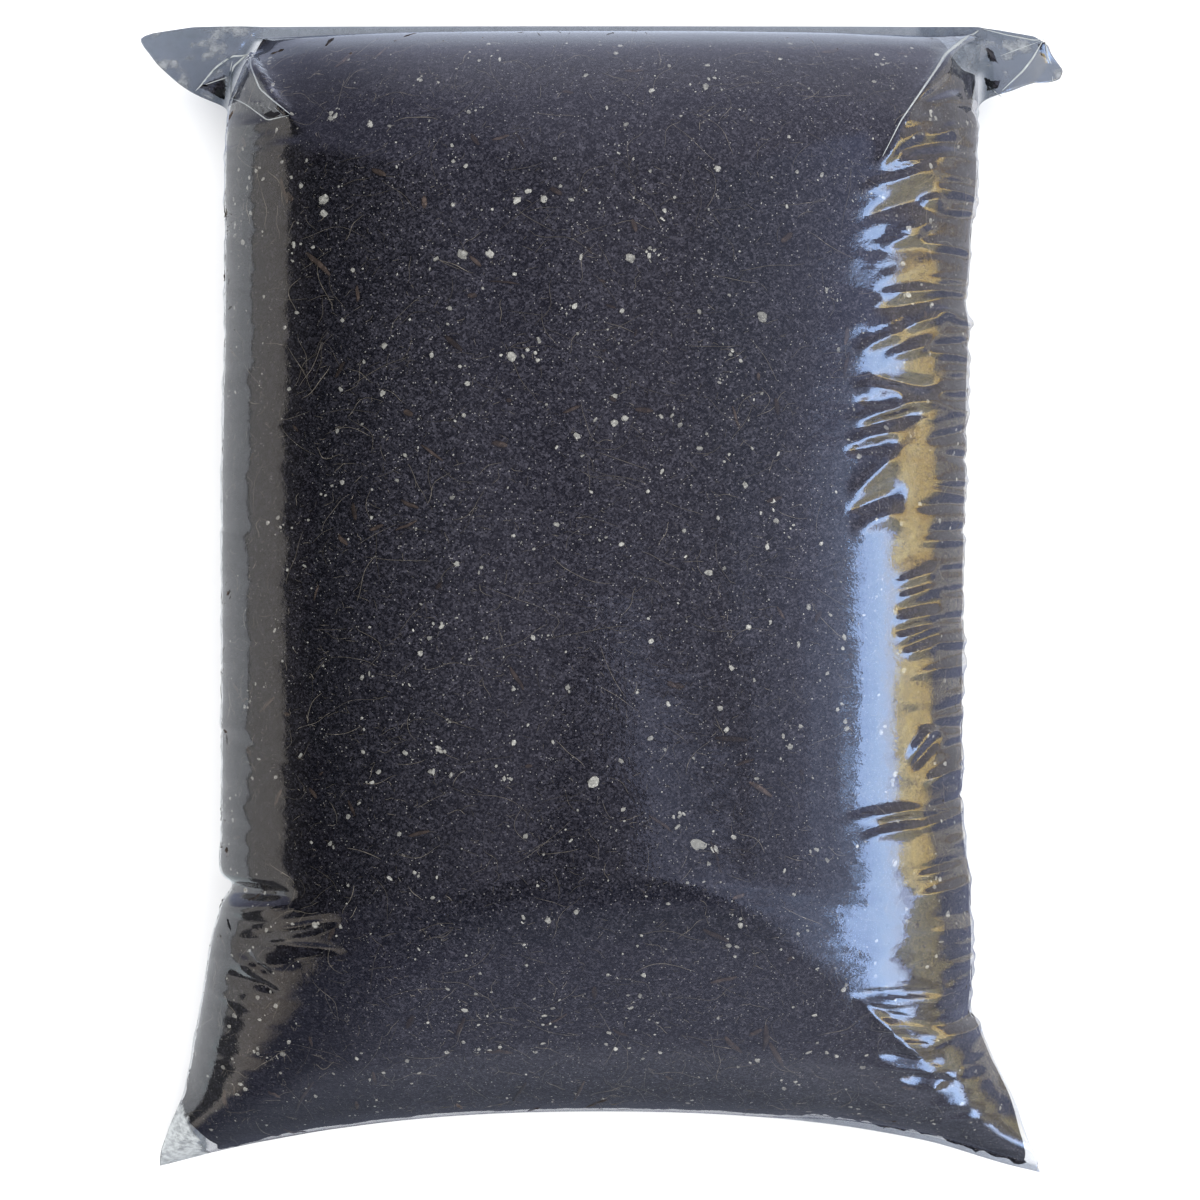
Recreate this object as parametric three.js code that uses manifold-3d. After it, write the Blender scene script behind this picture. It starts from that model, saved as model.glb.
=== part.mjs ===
// A clear film pack of potting compost, lying flat as it comes to rest.
// The pack is a lay-flat tube of film with a heat seal across each end. Filled, it becomes a pillow:
// the body draws in at the sides, and the two ends keep their flat width, so the corners stand out as ears.
// Millimetres, +Z up, +Y towards the square end, origin on the floor under the middle of the pack.
import * as THREE from "three";
import { mergeVertices } from "three/addons/utils/BufferGeometryUtils.js";
import Module from "manifold-3d";

const LENGTH = 434; // from the square end's trimmed edge to the tips of the other end's corners
const FLAT_WIDTH = 350; // the empty tube's lay-flat width, which the square end's seal keeps
const THICKNESS = 128; // the filled pack, from the floor to its crown
const FLANGE = 5; // the trimmed film outside each seal
const FILM = 0.1; // film gauge
const CLEARANCE = 0.3; // air between the film and the compost

const BODY_HALF_WIDTH = 138.5; // the filled body, away from its ends
const WIDEST_Z = 54; // where the sides stand out furthest
const CROWN_POWER = 2.6; // superellipse power of the upper half of a cross-section
const BELLY_POWER = 3.2; // and of the lower half, which is squarer
const BELLY_SAG = 6; // how much lower the lower half would hang if the floor didn't flatten it

// taper is the length over which an end closes, and power how blunt it is; bow is how far the seal's
// middle is drawn in.
const SQUARE_END = { taper: 62, power: 2.2, sealZ: 42, bow: 0 };
const CORNERED_END = { taper: 104, power: 1.75, sealZ: 24, bow: 19 };
const CORNER_FLARE = { width: 28, leftReach: 108, rightReach: 64 }; // the body widens to its corners
const EAR = { reach: 33, spread: FLAT_WIDTH / 2 }; // the square end's flat corners
const VENT = { length: 4, width: 1.2, y: -121, z: 66 }; // the slit that lets air out when packs are stacked

const SEAL_Y = LENGTH / 2 - FLANGE;
const RING_POINTS = 52;
const MIDDLE_STATIONS = 20;
const END_STATIONS = [0, 0.6, 2, 5, 9, 14, 21, 30, 42]; // distances from a seal, where the shape turns fastest

// How much of the full thickness there is at a distance from a seal: a quarter superellipse.
function swelling(distance, { taper, power }) {
  const toGo = Math.max(0, 1 - distance / taper);
  return (1 - toGo ** power) ** (1 / power);
}

// The body's half-width on one side, at a distance from the cornered end's seal.
function halfWidth(side, distance) {
  const reach = side === "left" ? CORNER_FLARE.leftReach : CORNER_FLARE.rightReach;
  const near = Math.max(0, 1 - distance / reach);
  return BODY_HALF_WIDTH + CORNER_FLARE.width * near ** 1.2;
}

// Distances from the cornered end's seal at which cross-sections are taken.
function stations() {
  const span = 2 * SEAL_Y;
  const inner = END_STATIONS.at(-1);
  const middle = Array.from({ length: MIDDLE_STATIONS }, (_, i) => {
    return inner + ((span - 2 * inner) * (i + 1)) / (MIDDLE_STATIONS + 1);
  });
  return [...END_STATIONS, ...middle, ...END_STATIONS.map((d) => span - d).reverse()];
}

// One closed cross-section of the film's outer face, anticlockwise seen from the cornered end.
function section(distance) {
  const fromSquare = 2 * SEAL_Y - distance;
  const full = swelling(distance, CORNERED_END) * swelling(fromSquare, SQUARE_END);
  const share = distance / (2 * SEAL_Y);
  const endZ = THREE.MathUtils.lerp(CORNERED_END.sealZ, SQUARE_END.sealZ, share);
  const middleZ = THREE.MathUtils.lerp(endZ, WIDEST_Z, full);
  const rise = Math.max(FILM, (THICKNESS - WIDEST_Z) * full);
  const drop = Math.max(FILM, (WIDEST_Z + BELLY_SAG) * full);
  const drawnIn = CORNERED_END.bow * (1 - share) ** 3;
  return Array.from({ length: RING_POINTS }, (_, i) => {
    const angle = (2 * Math.PI * i) / RING_POINTS;
    const across = Math.cos(angle);
    const up = Math.sin(angle);
    const power = up >= 0 ? CROWN_POWER : BELLY_POWER;
    const half = halfWidth(across >= 0 ? "right" : "left", distance);
    const x = half * Math.sign(across) * Math.abs(across) ** (2 / power);
    const z = middleZ + (up >= 0 ? rise : drop) * Math.sign(up) * Math.abs(up) ** (2 / power);
    const bowed = drawnIn * (1 - (x / half) ** 2);
    return new THREE.Vector3(x, -SEAL_Y + distance + bowed, Math.max(0, z));
  });
}

// A closed surface through a row of rings. Each end is closed by strips from the upper half to the lower.
function loft(rings) {
  const count = rings[0].length;
  const faces = [];
  for (let r = 0; r + 1 < rings.length; r++) {
    for (let i = 0; i < count; i++) {
      const a = r * count + i;
      const b = r * count + ((i + 1) % count);
      faces.push(a, a + count, b, b, a + count, b + count);
    }
  }
  const last = (rings.length - 1) * count;
  for (let i = 0; i < count / 2; i++) {
    const strip = [[i, i + 1, count - i - 1], [i, count - i - 1, (count - i) % count]];
    for (const [a, b, c] of strip) {
      if (a === b || b === c || a === c) continue;
      faces.push(a, b, c, last + a, last + c, last + b);
    }
  }
  return new THREE.BufferGeometry().setFromPoints(rings.flat()).setIndex(faces);
}

// The rings moved inwards along the surface's normals, without the ones at the seals.
function inset(rings, depth) {
  const surface = loft(rings);
  surface.computeVertexNormals();
  const normals = surface.getAttribute("normal");
  const count = rings[0].length;
  const moved = rings.map((ring, r) => {
    return ring.map((p, i) => {
      const normal = new THREE.Vector3().fromBufferAttribute(normals, r * count + i);
      return p.clone().addScaledVector(normal, -depth);
    });
  });
  return moved.slice(1, -1);
}

const wasm = await Module();
wasm.setup();

function solid(geometry) {
  const bare = geometry.clone();
  bare.deleteAttribute("normal");
  bare.deleteAttribute("uv");
  const merged = mergeVertices(bare, 1e-4);
  const vertProperties = merged.getAttribute("position").array;
  const triVerts = new Uint32Array(merged.index.array);
  return new wasm.Manifold(new wasm.Mesh({ numProp: 3, vertProperties, triVerts }));
}

function geometryOf(manifold) {
  const { vertProperties, triVerts } = manifold.getMesh();
  return new THREE.BufferGeometry()
    .setAttribute("position", new THREE.BufferAttribute(vertProperties, 3))
    .setIndex(new THREE.BufferAttribute(triVerts, 1));
}

// Flat doubled film of a given outline, two gauges thick, at a seal's height.
function doubledFilm(shape, z) {
  const sheet = new THREE.ExtrudeGeometry(shape, { depth: 2 * FILM, bevelEnabled: false, curveSegments: 20 });
  return solid(sheet.translate(0, 0, z - FILM));
}

// The square end: a straight flange across the full lay-flat width, and the triangular ears under it.
function squareEndFilm() {
  const outer = LENGTH / 2;
  const root = BODY_HALF_WIDTH - 6;
  const rootY = SEAL_Y - EAR.reach;
  const shape = new THREE.Shape();
  shape.moveTo(-EAR.spread, outer);
  shape.lineTo(-EAR.spread, outer - FLANGE);
  shape.quadraticCurveTo(-EAR.spread + 12, rootY + 8, -root, rootY);
  shape.lineTo(-root, SEAL_Y - 1);
  shape.lineTo(root, SEAL_Y - 1);
  shape.lineTo(root, rootY);
  shape.quadraticCurveTo(EAR.spread - 12, rootY + 8, EAR.spread, outer - FLANGE);
  shape.lineTo(EAR.spread, outer);
  return doubledFilm(shape, SQUARE_END.sealZ);
}

// The cornered end: a flange that follows the bowed seal, between the two pointed corners.
function corneredEndFilm() {
  const half = BODY_HALF_WIDTH + CORNER_FLARE.width;
  const shape = new THREE.Shape();
  shape.moveTo(-half, -SEAL_Y + 1);
  shape.lineTo(-half, -SEAL_Y - FLANGE);
  shape.quadraticCurveTo(0, -SEAL_Y - FLANGE + 2 * CORNERED_END.bow, half, -SEAL_Y - FLANGE);
  shape.lineTo(half, -SEAL_Y + 1);
  shape.quadraticCurveTo(0, -SEAL_Y + 1 + 2 * CORNERED_END.bow, -half, -SEAL_Y + 1);
  return doubledFilm(shape, CORNERED_END.sealZ);
}

// A cutter for the vent slit, which goes through the film on the left side only.
function ventCutter() {
  const cutter = new THREE.BoxGeometry(12, VENT.length, VENT.width);
  return solid(cutter.translate(-BODY_HALF_WIDTH, VENT.y, VENT.z));
}

function bagFilm(rings) {
  const shell = solid(loft(rings)).add(squareEndFilm()).add(corneredEndFilm());
  const hollow = solid(loft(inset(rings, FILM)));
  const geometry = geometryOf(shell.subtract(hollow).subtract(ventCutter()));
  const clearFilm = new THREE.MeshStandardMaterial({
    color: 0xd9e2e6,
    roughness: 0.12,
    metalness: 0,
    transparent: true,
    opacity: 0.3,
  });
  const mesh = new THREE.Mesh(geometry, clearFilm);
  mesh.name = "bag_film";
  return mesh;
}

function compostFill(rings) {
  const darkCompost = new THREE.MeshStandardMaterial({ color: 0x231d1b, roughness: 0.95, metalness: 0 });
  const filled = inset(rings, FILM + CLEARANCE).slice(1, -1);
  const mesh = new THREE.Mesh(loft(filled), darkCompost);
  mesh.name = "compost_fill";
  return mesh;
}

const rings = stations().map(section);
const pack = new THREE.Group();
pack.add(bagFilm(rings), compostFill(rings));

export default pack;
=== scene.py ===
"""A clear film pack of potting compost, lying flat on a pale floor.

Each piece is made by its own operator, from the sizes and colours in the property groups.
"""

import bpy
import numpy as np
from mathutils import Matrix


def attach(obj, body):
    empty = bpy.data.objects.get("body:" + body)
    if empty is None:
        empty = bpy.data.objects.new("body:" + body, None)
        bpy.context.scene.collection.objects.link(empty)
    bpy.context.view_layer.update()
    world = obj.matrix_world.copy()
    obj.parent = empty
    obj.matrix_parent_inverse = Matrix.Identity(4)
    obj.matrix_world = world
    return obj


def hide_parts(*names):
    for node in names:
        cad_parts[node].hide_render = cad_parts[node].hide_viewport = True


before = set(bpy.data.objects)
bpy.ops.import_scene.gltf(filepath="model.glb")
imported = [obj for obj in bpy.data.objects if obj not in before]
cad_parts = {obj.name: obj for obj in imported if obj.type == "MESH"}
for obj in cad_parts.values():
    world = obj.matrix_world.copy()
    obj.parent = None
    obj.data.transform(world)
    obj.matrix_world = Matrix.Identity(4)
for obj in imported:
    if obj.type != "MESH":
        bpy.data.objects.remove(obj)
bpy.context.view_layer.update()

bl_info = {
    "name": "Compost Pack",
    "version": (1, 0, 0),
    "blender": (4, 5, 0),
    "location": "3D View > Sidebar > Compost Pack",
    "description": "Makes a clear pillow pack of potting compost with its perlite, roots and wood bits",
    "category": "Add Mesh",
}

MM = 0.001
ROOT = "root"
UP = np.array([0.0, 0.0, 1.0])

# ---------------------------------------------------------------- shape of the pack, in millimetres

SEAL_Y = 212.0
LENGTH = 2 * SEAL_Y
HALF_GIRTH = 350.0
SQUARE_FLANGE = 4.3
TIP_REACH = 9.0
WIDEST_Z = 54.0
# How many points the compost has across one film, and about how far apart its points lie.
FILL_COLUMNS = 188
GRID_SPACING = 1.75
UPPER = {"rise": 73.5, "power": 2.6, "limit": 1.0}
LOWER = {"rise": 60.0, "power": 3.2, "limit": 0.897}
# Half the width of the full body.
FULL_REACH = 139.0
# How the film swells away from each seal: the distance that it takes, and the superellipse's power.
CORNERED_SWELL = (102, 1.75)
SQUARE_SWELL = (62, 2.3)
# Height of each seal's middle, and how far the seal drops towards its ends.
CORNERED_SEAL = {"height": 24, "drop": 9}
SQUARE_SEAL = {"height": 42, "drop": 2.5}
SEAL_REACH = 166.0
# How far the cornered end's middle is drawn in by the swelling, and how far the top sinks towards both ends.
BOW = 22.7
SAG = 3.0
# The ears begin this far towards the square end.
EAR_START = 182.0
# Crumbs, grains and strands stay this high above the floor.
LOWEST_LOOSE = 0.4

# How far the filled body reaches to each side, from the cornered end (-Y) to the square end (+Y).
LEFT_SIDE = (
    (-222, 171.4), (-214, 169.6), (-207.7, 167.0), (-201.5, 164.6), (-195, 161.4), (-189, 158.8),
    (-183, 157.4), (-177, 155.9), (-170, 154.8), (-164, 153.6), (-154, 151.4), (-141, 148.9),
    (-128, 146.4), (-120, 143.8), (-114, 141.6), (-109, 139.8), (-104, 142.4), (-100, 143.0),
    (-88, 142.2), (-22, 142.1), (44, 142.1), (70, 141.6), (96, 141.0), (180, 141.0),
    (188, 139.6), (196, 136.6), (203, 133.0), (213, 128.0),
)
RIGHT_SIDE = (
    (-222, 170.8), (-214, 168.2), (-207.7, 164.4), (-201.5, 161.6), (-195, 159.0), (-189, 156.2),
    (-183, 152.8), (-177, 149.6), (-167, 145.2), (-160, 142.4),
    (-156, 140.3), (-153, 139.9), (-128, 139.6), (-114, 138.5), (-101, 137.6), (-88, 135.8),
    (-75, 135.0), (-61, 135.4), (4, 135.7), (57, 136.9), (83, 137.2), (96, 138.2), (103, 137.8),
    (109, 136.4), (122, 138.0), (136, 138.6), (149, 140.6), (184, 142.0), (205, 143.0), (213, 144.0),
)
# How far the flat ears of the square end reach beyond the body.
LEFT_EAR = (
    (182.5, 0.0), (184.5, 1.8), (186.5, 7.6), (189.5, 15.0), (192.5, 20.4), (195.5, 25.2),
    (198.5, 29.8), (201.5, 34.6), (204.5, 38.4), (207.6, 42.4), (209.4, 44.8), (212.4, 47.8),
    (214.1, 45.6), (215.2, 41.0), (215.9, 34.0), (216.3, 22.0),
)
RIGHT_EAR = (
    (184.2, 0.0), (187.6, 2.9), (192.0, 11.0), (196.0, 17.4), (199.0, 23.2), (203.2, 28.6),
    (206.2, 31.2), (210.5, 32.4), (212.1, 31.4), (213.5, 28.0), (216.3, 26.0),
)


def softened(y, table, reach=2.0):
    """A side line read from its table, with each value the mean of five readings along it, which rounds the bends."""
    rows = np.array(table)
    return np.mean([np.interp(y + reach * k, rows[:, 0], rows[:, 1]) for k in (-1, -0.5, 0, 0.5, 1)], axis=0)


def smooth(low, high, value):
    """The cubic step from 0 at low to 1 at high."""
    share = np.clip((value - low) / (high - low), 0, 1)
    return share * share * (3 - 2 * share)


def swelling(distance, taper, power):
    """A quarter superellipse from 0 at a seal to 1 at the taper's end."""
    to_go = np.clip(1 - distance / taper, 0, 1)
    return (1 - to_go**power) ** (1 / power)


def section_table(half):
    """Arc length, sideways share and height share along one half of the filled body's section.

    The half section is a superellipse, cut off at its limit where the floor flattens it.
    """
    angle = np.linspace(0, np.pi, 4001)
    across = np.sign(np.cos(angle)) * np.abs(np.cos(angle)) ** (2 / half["power"])
    height = np.minimum(np.sin(angle) ** (2 / half["power"]), half["limit"])
    step = np.hypot(np.diff(FULL_REACH * across), np.diff(half["rise"] * height))
    arc = np.concatenate([[0], np.cumsum(step)])
    return arc / arc[-1], across, height


UPPER_TABLE, LOWER_TABLE = section_table(UPPER), section_table(LOWER)


def half_skin(from_seal, arc, upper, ears, inset=False):
    """Points of the upper or the lower film, for distances from the cornered end's edge and arcs from the right side.

    Each point is a mix of two shapes: the flat tube at a seal and the superellipse of the full body, mixed by how
    far the pack has swelled there. With ears, the outermost film of each side lies flat beyond the body instead.
    Inset pulls the sides in to where the compost stops.
    """
    s, t = from_seal[:, None], arc[None, :]
    y = s - SEAL_Y - TIP_REACH * smooth(62, 0, s)
    flange = 0.7 + 2.3 * smooth(0.33, 0.22, t / HALF_GIRTH)
    full = swelling(np.clip(s - flange, 0, None), *CORNERED_SWELL)
    full = full * swelling(np.clip(LENGTH - s, 0, None), *SQUARE_SWELL)
    right_ear, left_ear = (softened(y, table, 1.0) if ears else 0 * y for table in (RIGHT_EAR, LEFT_EAR))
    # The ears are flat film taken off both edges; the rest of the girth goes round the body.
    share = np.clip((t - right_ear) / (HALF_GIRTH - right_ear - left_ear), 0, 1)
    table, half = (UPPER_TABLE, UPPER) if upper else (LOWER_TABLE, LOWER)
    across = (1 - full) * (1 - 2 * share) + full * np.interp(share, table[0], table[1])
    height = np.interp(share, table[0], table[2]) * full
    reach = np.where(across > 0, softened(y, RIGHT_SIDE), softened(y, LEFT_SIDE))
    if inset:
        right_gap = 0.1 + 2.0 * smooth(-180, -212, y) + 3.0 * smooth(-206, -220, y)
        gap = np.where(across > 0, right_gap, np.interp(y, (-218, -196), (22, 0.1)))
        across = across * (1 - gap / reach * smooth(0.6, 1, np.abs(across)))
    over = np.clip(right_ear - t, 0, None) - np.clip(t - (HALF_GIRTH - left_ear), 0, None)
    x = reach * across + over
    share_y = np.clip(s / LENGTH, 0, 1)
    corner = (x / SEAL_REACH) ** 2
    cornered_z, square_z = (seal["height"] - seal["drop"] * corner for seal in (CORNERED_SEAL, SQUARE_SEAL))
    end_z = cornered_z * (1 - share_y) + square_z * share_y
    middle_z = end_z + (WIDEST_Z - end_z) * full
    z = middle_z + (1 if upper else -1) * half["rise"] * height
    bow = (BOW - 2.2 * smooth(0.5, 1, across)) * (1 - share_y) ** 3 * (1 - np.clip(np.abs(across), 0, 1) ** 2.2)
    sag = SAG * (y / SEAL_Y) ** 2 * full if upper else 0
    bow = bow - 2.6 * smooth(0.72, 0.95, across) * smooth(30, 0, s)
    return np.stack(np.broadcast_arrays(x, y + bow, z - sag), axis=-1)


def skin_rings(from_seal, arc, ears=True, inset=False):
    """Closed rings round the pack: the upper film from right to left, then the lower film back again."""
    top = half_skin(from_seal, arc, True, ears, inset)
    bottom = half_skin(from_seal, arc, False, ears, inset)
    return np.concatenate([top, bottom[:, -2:0:-1]], axis=1)


def ring_normals(rings):
    """Outward unit normals: the cross product of the steps round the rings and along them."""
    around = np.roll(rings, -1, axis=1) - np.roll(rings, 1, axis=1)
    along = np.gradient(rings, axis=0)
    normal = np.cross(around, along)
    size = np.linalg.norm(normal, axis=-1, keepdims=True)
    normal = -normal / np.maximum(size, 1e-9)
    middle = rings.reshape(-1, 3).mean(0)
    outward = np.sum(normal * (rings - middle), axis=-1)
    return normal if outward.mean() > 0 else -normal


def value_noise(points, size, seed):
    """Smooth noise from -1 to 1: random numbers on a cubic lattice, blended by the cubic step."""
    numbers = np.random.default_rng(seed).uniform(-1, 1, 8192)
    cell = np.asarray(points) / size
    low = np.floor(cell).astype(np.int64)
    part = cell - low
    part = part * part * (3 - 2 * part)
    total = 0
    for corner in np.ndindex(2, 2, 2):
        key = low + np.array(corner)
        pick = (key[..., 0] * 73856093) ^ (key[..., 1] * 19349663) ^ (key[..., 2] * 83492791)
        weight = np.prod(np.where(np.array(corner) == 1, part, 1 - part), axis=-1)
        total = total + weight * numbers[pick & 8191]
    return total


def line_relief(points, lines):
    """Height added by creases drawn on the plan of the pack.

    Each line gives x0, y0, x1, y1, height and width. The relief across a line is a rounded ridge, the height times
    exp(-(distance / width) ** 1.6); along it, it swells from a point at the start and fades at the end.
    """
    x, y = points[..., 0], points[..., 1]
    total = np.zeros(x.shape)
    for x0, y0, x1, y1, height, width in lines:
        length = np.hypot(x1 - x0, y1 - y0)
        ux, uy = (x1 - x0) / length, (y1 - y0) / length
        along = ((x - x0) * ux + (y - y0) * uy) / length
        off = np.abs((y - y0) * ux - (x - x0) * uy)
        near = (along > -0.3) & (along < 1.5) & (off < 4 * width)
        a, d = along[near], off[near]
        spread = width * (0.45 + 0.75 * np.clip(a, 0, 1))
        envelope = smooth(-0.12, 0.3, a) * (1 - smooth(0.8, 1.35, a))
        total[near] += height * envelope * np.exp(-((d / spread) ** 1.6))
    return total


def path_relief(points, path, height, width, sharpness=1.2):
    """Height added along a bent crest, fading at both ends.

    It is the height times exp(-(distance to the path / width) ** sharpness).
    """
    x, y = points[..., 0], points[..., 1]
    path = np.array(path, float)
    steps = np.hypot(*np.diff(path, axis=0).T)
    total_length = steps.sum()
    nearest = np.full(x.shape, 1e9)
    place = np.zeros(x.shape)
    done = 0.0
    for (x0, y0), (x1, y1), length in zip(path[:-1], path[1:], steps):
        along = np.clip(((x - x0) * (x1 - x0) + (y - y0) * (y1 - y0)) / length**2, 0, 1)
        off = np.hypot(x - x0 - along * (x1 - x0), y - y0 - along * (y1 - y0))
        closer = off < nearest
        nearest = np.where(closer, off, nearest)
        place = np.where(closer, (done + along * length) / total_length, place)
        done += length
    fade = smooth(0, 0.12, place) * (1 - smooth(0.72, 1.0, place))
    return height * fade * np.exp(-((nearest / width) ** sharpness))


# ---------------------------------------------------------------- creases, in millimetres on the plan

RIGHT_CORNER_CREST = (
    (146.0, 213.5), (134.2, 206.0), (126.3, 196.8), (117.6, 184.4), (109.5, 173.3), (103.7, 162.9), (98.5, 150.0),
)
LEFT_CORNER_CREST = (
    (-131.5, 206.0), (-129.5, 200.0), (-123.9, 190.4), (-116.3, 179.6), (-111.4, 172.3), (-108.0, 165.0),
)
BIG_FOLDS = (
    (-112.0, -107.4, -141.0, -107.6, -3.0, 2.6),
    (-111.0, -111.4, -137.0, -115.6, 2.4, 3.0),
    (100.6, -172.8, 128.4, -175.6, 1.2, 3.0),
    (120.0, -158.0, 142.0, -157.0, -1.6, 3.0),
)
RIGHT_RIPPLES = (
    (114.4, 180.6, 128.2, 194.7, 0.9, 2.2), (115.4, 177.6, 129.2, 183.0, 0.9, 2.4),
    (107.6, 170.2, 120.4, 173.7, 0.9, 2.4), (98.8, 154.9, 115.2, 169.3, 1.1, 3.2),
    (117.8, 165.9, 128.8, 170.4, 0.8, 2.0), (104.7, 154.6, 127.0, 160.8, 0.9, 2.4),
    (92.5, 145.0, 118.5, 155.0, 1.2, 3.4), (115.4, 142.1, 122.5, 144.2, 0.7, 2.2),
    (104.0, 130.5, 119.3, 135.5, 0.8, 2.2), (101.0, 126.0, 114.2, 130.4, 0.9, 2.0),
    (101.7, 108.5, 120.9, 110.4, 0.7, 2.2), (108.1, 96.3, 126.1, 103.6, 0.9, 2.2),
    (91.7, 87.5, 106.2, 96.2, 1.0, 3.0), (101.7, 85.6, 116.9, 90.6, 0.9, 1.8),
    (91.0, 75.3, 107.0, 73.2, 1.2, 3.2), (89.5, 62.8, 120.9, 71.6, 1.2, 3.2),
    (89.2, 55.6, 104.7, 58.5, 1.0, 2.8), (89.5, 36.4, 104.7, 50.2, 1.1, 3.6),
    (90.3, 23.5, 104.7, 30.1, 0.9, 4.0), (106.2, 4.3, 120.9, 9.0, 0.7, 2.0),
    (107.0, -1.4, 120.1, 2.9, 0.7, 2.0), (106.2, -9.3, 120.9, -6.9, 0.8, 2.0),
    (107.0, -15.8, 120.1, -10.8, 0.7, 2.0), (109.2, -21.2, 120.9, -17.7, 0.7, 2.0),
    (111.1, -58.3, 120.9, -46.7, 0.9, 2.4), (117.7, -67.5, 132.1, -61.1, 1.3, 2.6),
    (88.4, -79.5, 112.7, -77.8, 0.9, 2.2), (93.9, -86.4, 111.9, -83.8, 0.9, 2.0),
    (94.5, -148.1, 119.9, -171.8, 1.2, 2.8), (95.2, -147.3, 123.4, -147.8, 1.0, 2.4),
    (99.5, -154.3, 117.9, -160.1, 0.8, 2.0), (106.2, -162.7, 122.4, -165.1, 0.9, 2.0),
    (119.3, -183.5, 135.3, -177.5, 1.2, 2.4),
    (109.6, 175.2, 132.0, 188.3, -0.8, 2.2), (105.5, 160.1, 129.2, 165.6, -0.9, 2.2),
    (100.6, 149.7, 118.9, 158.3, -0.9, 2.0), (96.2, 136.2, 116.9, 144.4, -0.9, 3.0),
    (99.9, 102.4, 122.9, 107.3, -0.8, 3.0), (95.4, 92.2, 109.2, 98.5, -0.7, 2.0),
    (98.7, 78.4, 120.9, 74.9, -1.3, 2.2), (92.5, 69.6, 104.7, 70.3, -1.0, 1.8),
    (93.2, 60.0, 112.7, 66.2, -1.2, 2.0), (88.4, 51.7, 103.2, 54.8, -1.2, 2.0),
    (89.5, 30.3, 105.5, 36.6, -1.2, 2.2), (107.0, -5.0, 120.9, -2.2, -0.8, 1.8),
    (106.2, -12.9, 120.9, -9.4, -0.8, 1.8), (109.2, -18.7, 120.9, -14.5, -0.8, 1.8),
    (111.9, -62.6, 122.9, -51.5, -0.9, 2.0), (99.9, -81.6, 112.7, -80.3, -1.0, 1.6),
    (92.9, -144.3, 121.4, -144.6, -1.1, 1.8), (100.6, -152.1, 119.7, -156.5, -0.7, 1.4),
    (104.5, -159.1, 119.9, -162.6, -0.8, 1.4), (103.0, -169.0, 124.2, -172.2, -1.2, 1.8),
    (111.0, -178.5, 130.6, -180.5, -1.2, 2.4),
)
LEFT_RIPPLES = (
    (-108.2, 162.8, -122.9, 161.7, 0.3, 3.0), (-96.0, -116.6, -127.0, -123.4, -1.2, 2.4),
    (-93.0, -127.6, -130.5, -126.1, -1.3, 2.4), (-119.6, -136.6, -131.5, -129.8, -1.0, 1.8),
    (-117.0, -143.5, -134.3, -139.5, -1.1, 2.0), (-110.0, -133.0, -130.0, -133.5, 0.8, 2.4),
)


def side_ripples(side, count, seed):
    """Small ripples down one side: short lines spaced along the pack with a random wander, tilt, height and width."""
    rng = np.random.default_rng(seed)
    y = np.linspace(-196, 178, count) + rng.uniform(-3, 3, count)
    start = rng.uniform(112, 128, count)
    reach = rng.uniform(139, 150, count)
    tilt = rng.normal(0.12, 0.12, count) * (reach - start)
    height = (0.7 + 0.3 * side) * rng.uniform(0.25, 0.85, count) * np.where(rng.random(count) < 0.4, -1, 1)
    width = rng.uniform(1.4, 2.8, count)
    return [(side * a, b, side * c, b + d, e, f) for a, b, c, d, e, f in zip(start, y, reach, tilt, height, width)]


def big_relief(rings):
    """The folds that the compost follows too: both corner crests, the pinch on the left and the tuck on the right."""
    upper = smooth(20, 56, rings[..., 2])
    height = path_relief(rings, RIGHT_CORNER_CREST, 3.4, 5.0, 1.3)
    height += path_relief(rings, LEFT_CORNER_CREST, 2.6, 4.5, 1.3)
    height += line_relief(rings, BIG_FOLDS)
    return height * upper


def film_relief(rings):
    """The film's own fine ripples, over the upper half and a little way under the sides, none of it at the seals."""
    x, y, z = rings[..., 0], rings[..., 1], rings[..., 2]
    lines = [*RIGHT_RIPPLES, *LEFT_RIPPLES, *side_ripples(1, 62, 3), *side_ripples(-1, 58, 5)]
    relief = 1.5 * line_relief(rings, lines) * smooth(18, 50, z)
    # On the right the film is loose in slanting waves, and more so towards the square end.
    turned = np.stack([0.4 * (0.9 * x + 0.44 * y), 0.9 * y - 0.44 * x, 0.4 * z], axis=-1)
    wave = value_noise(turned, 7.0, 13) + 0.4 * value_noise(turned, 3.6, 14)
    looseness = 0.1 + 0.24 * smooth(30, 100, y) + 0.14 * smooth(-110, -150, y)
    relief += wave * looseness * smooth(84, 106, x) * smooth(18, 50, z)
    bowed = y + 20 * (1 - (x / SEAL_REACH) ** 2) * smooth(-150, -190, y)
    relief *= smooth(-216, -200, bowed) * smooth(212, 200, y)
    relief += path_relief(rings, RIGHT_CORNER_CREST, 1.3, 1.6, 1.2) * smooth(20, 56, z)
    flank = 0.3 + 0.7 * smooth(84, 112, np.abs(x))
    slack = 0.2 * value_noise(rings * np.array([0.7, 1.6, 0.7]), 14, 11)
    return relief + flank * (slack + 0.07 * value_noise(rings * np.array([0.6, 1.5, 0.6]), 4.5, 12))


def facet_relief(points, corners, facets):
    """Height added by flat facets drawn on the plan: each triangle's height is read from its three corners' heights."""
    x, y = points[..., 0], points[..., 1]
    total = np.zeros(x.shape)
    for names in facets:
        (xa, ya, ha), (xb, yb, hb), (xc, yc, hc) = (corners[name] for name in names)
        area = (xb - xa) * (yc - ya) - (xc - xa) * (yb - ya)
        b = ((x - xa) * (yc - ya) - (xc - xa) * (y - ya)) / area
        c = ((xb - xa) * (y - ya) - (x - xa) * (yb - ya)) / area
        inside = (b >= 0) & (c >= 0) & (b + c <= 1)
        total = np.where(inside, ha + b * (hb - ha) + c * (hc - ha), total)
    return total


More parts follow.
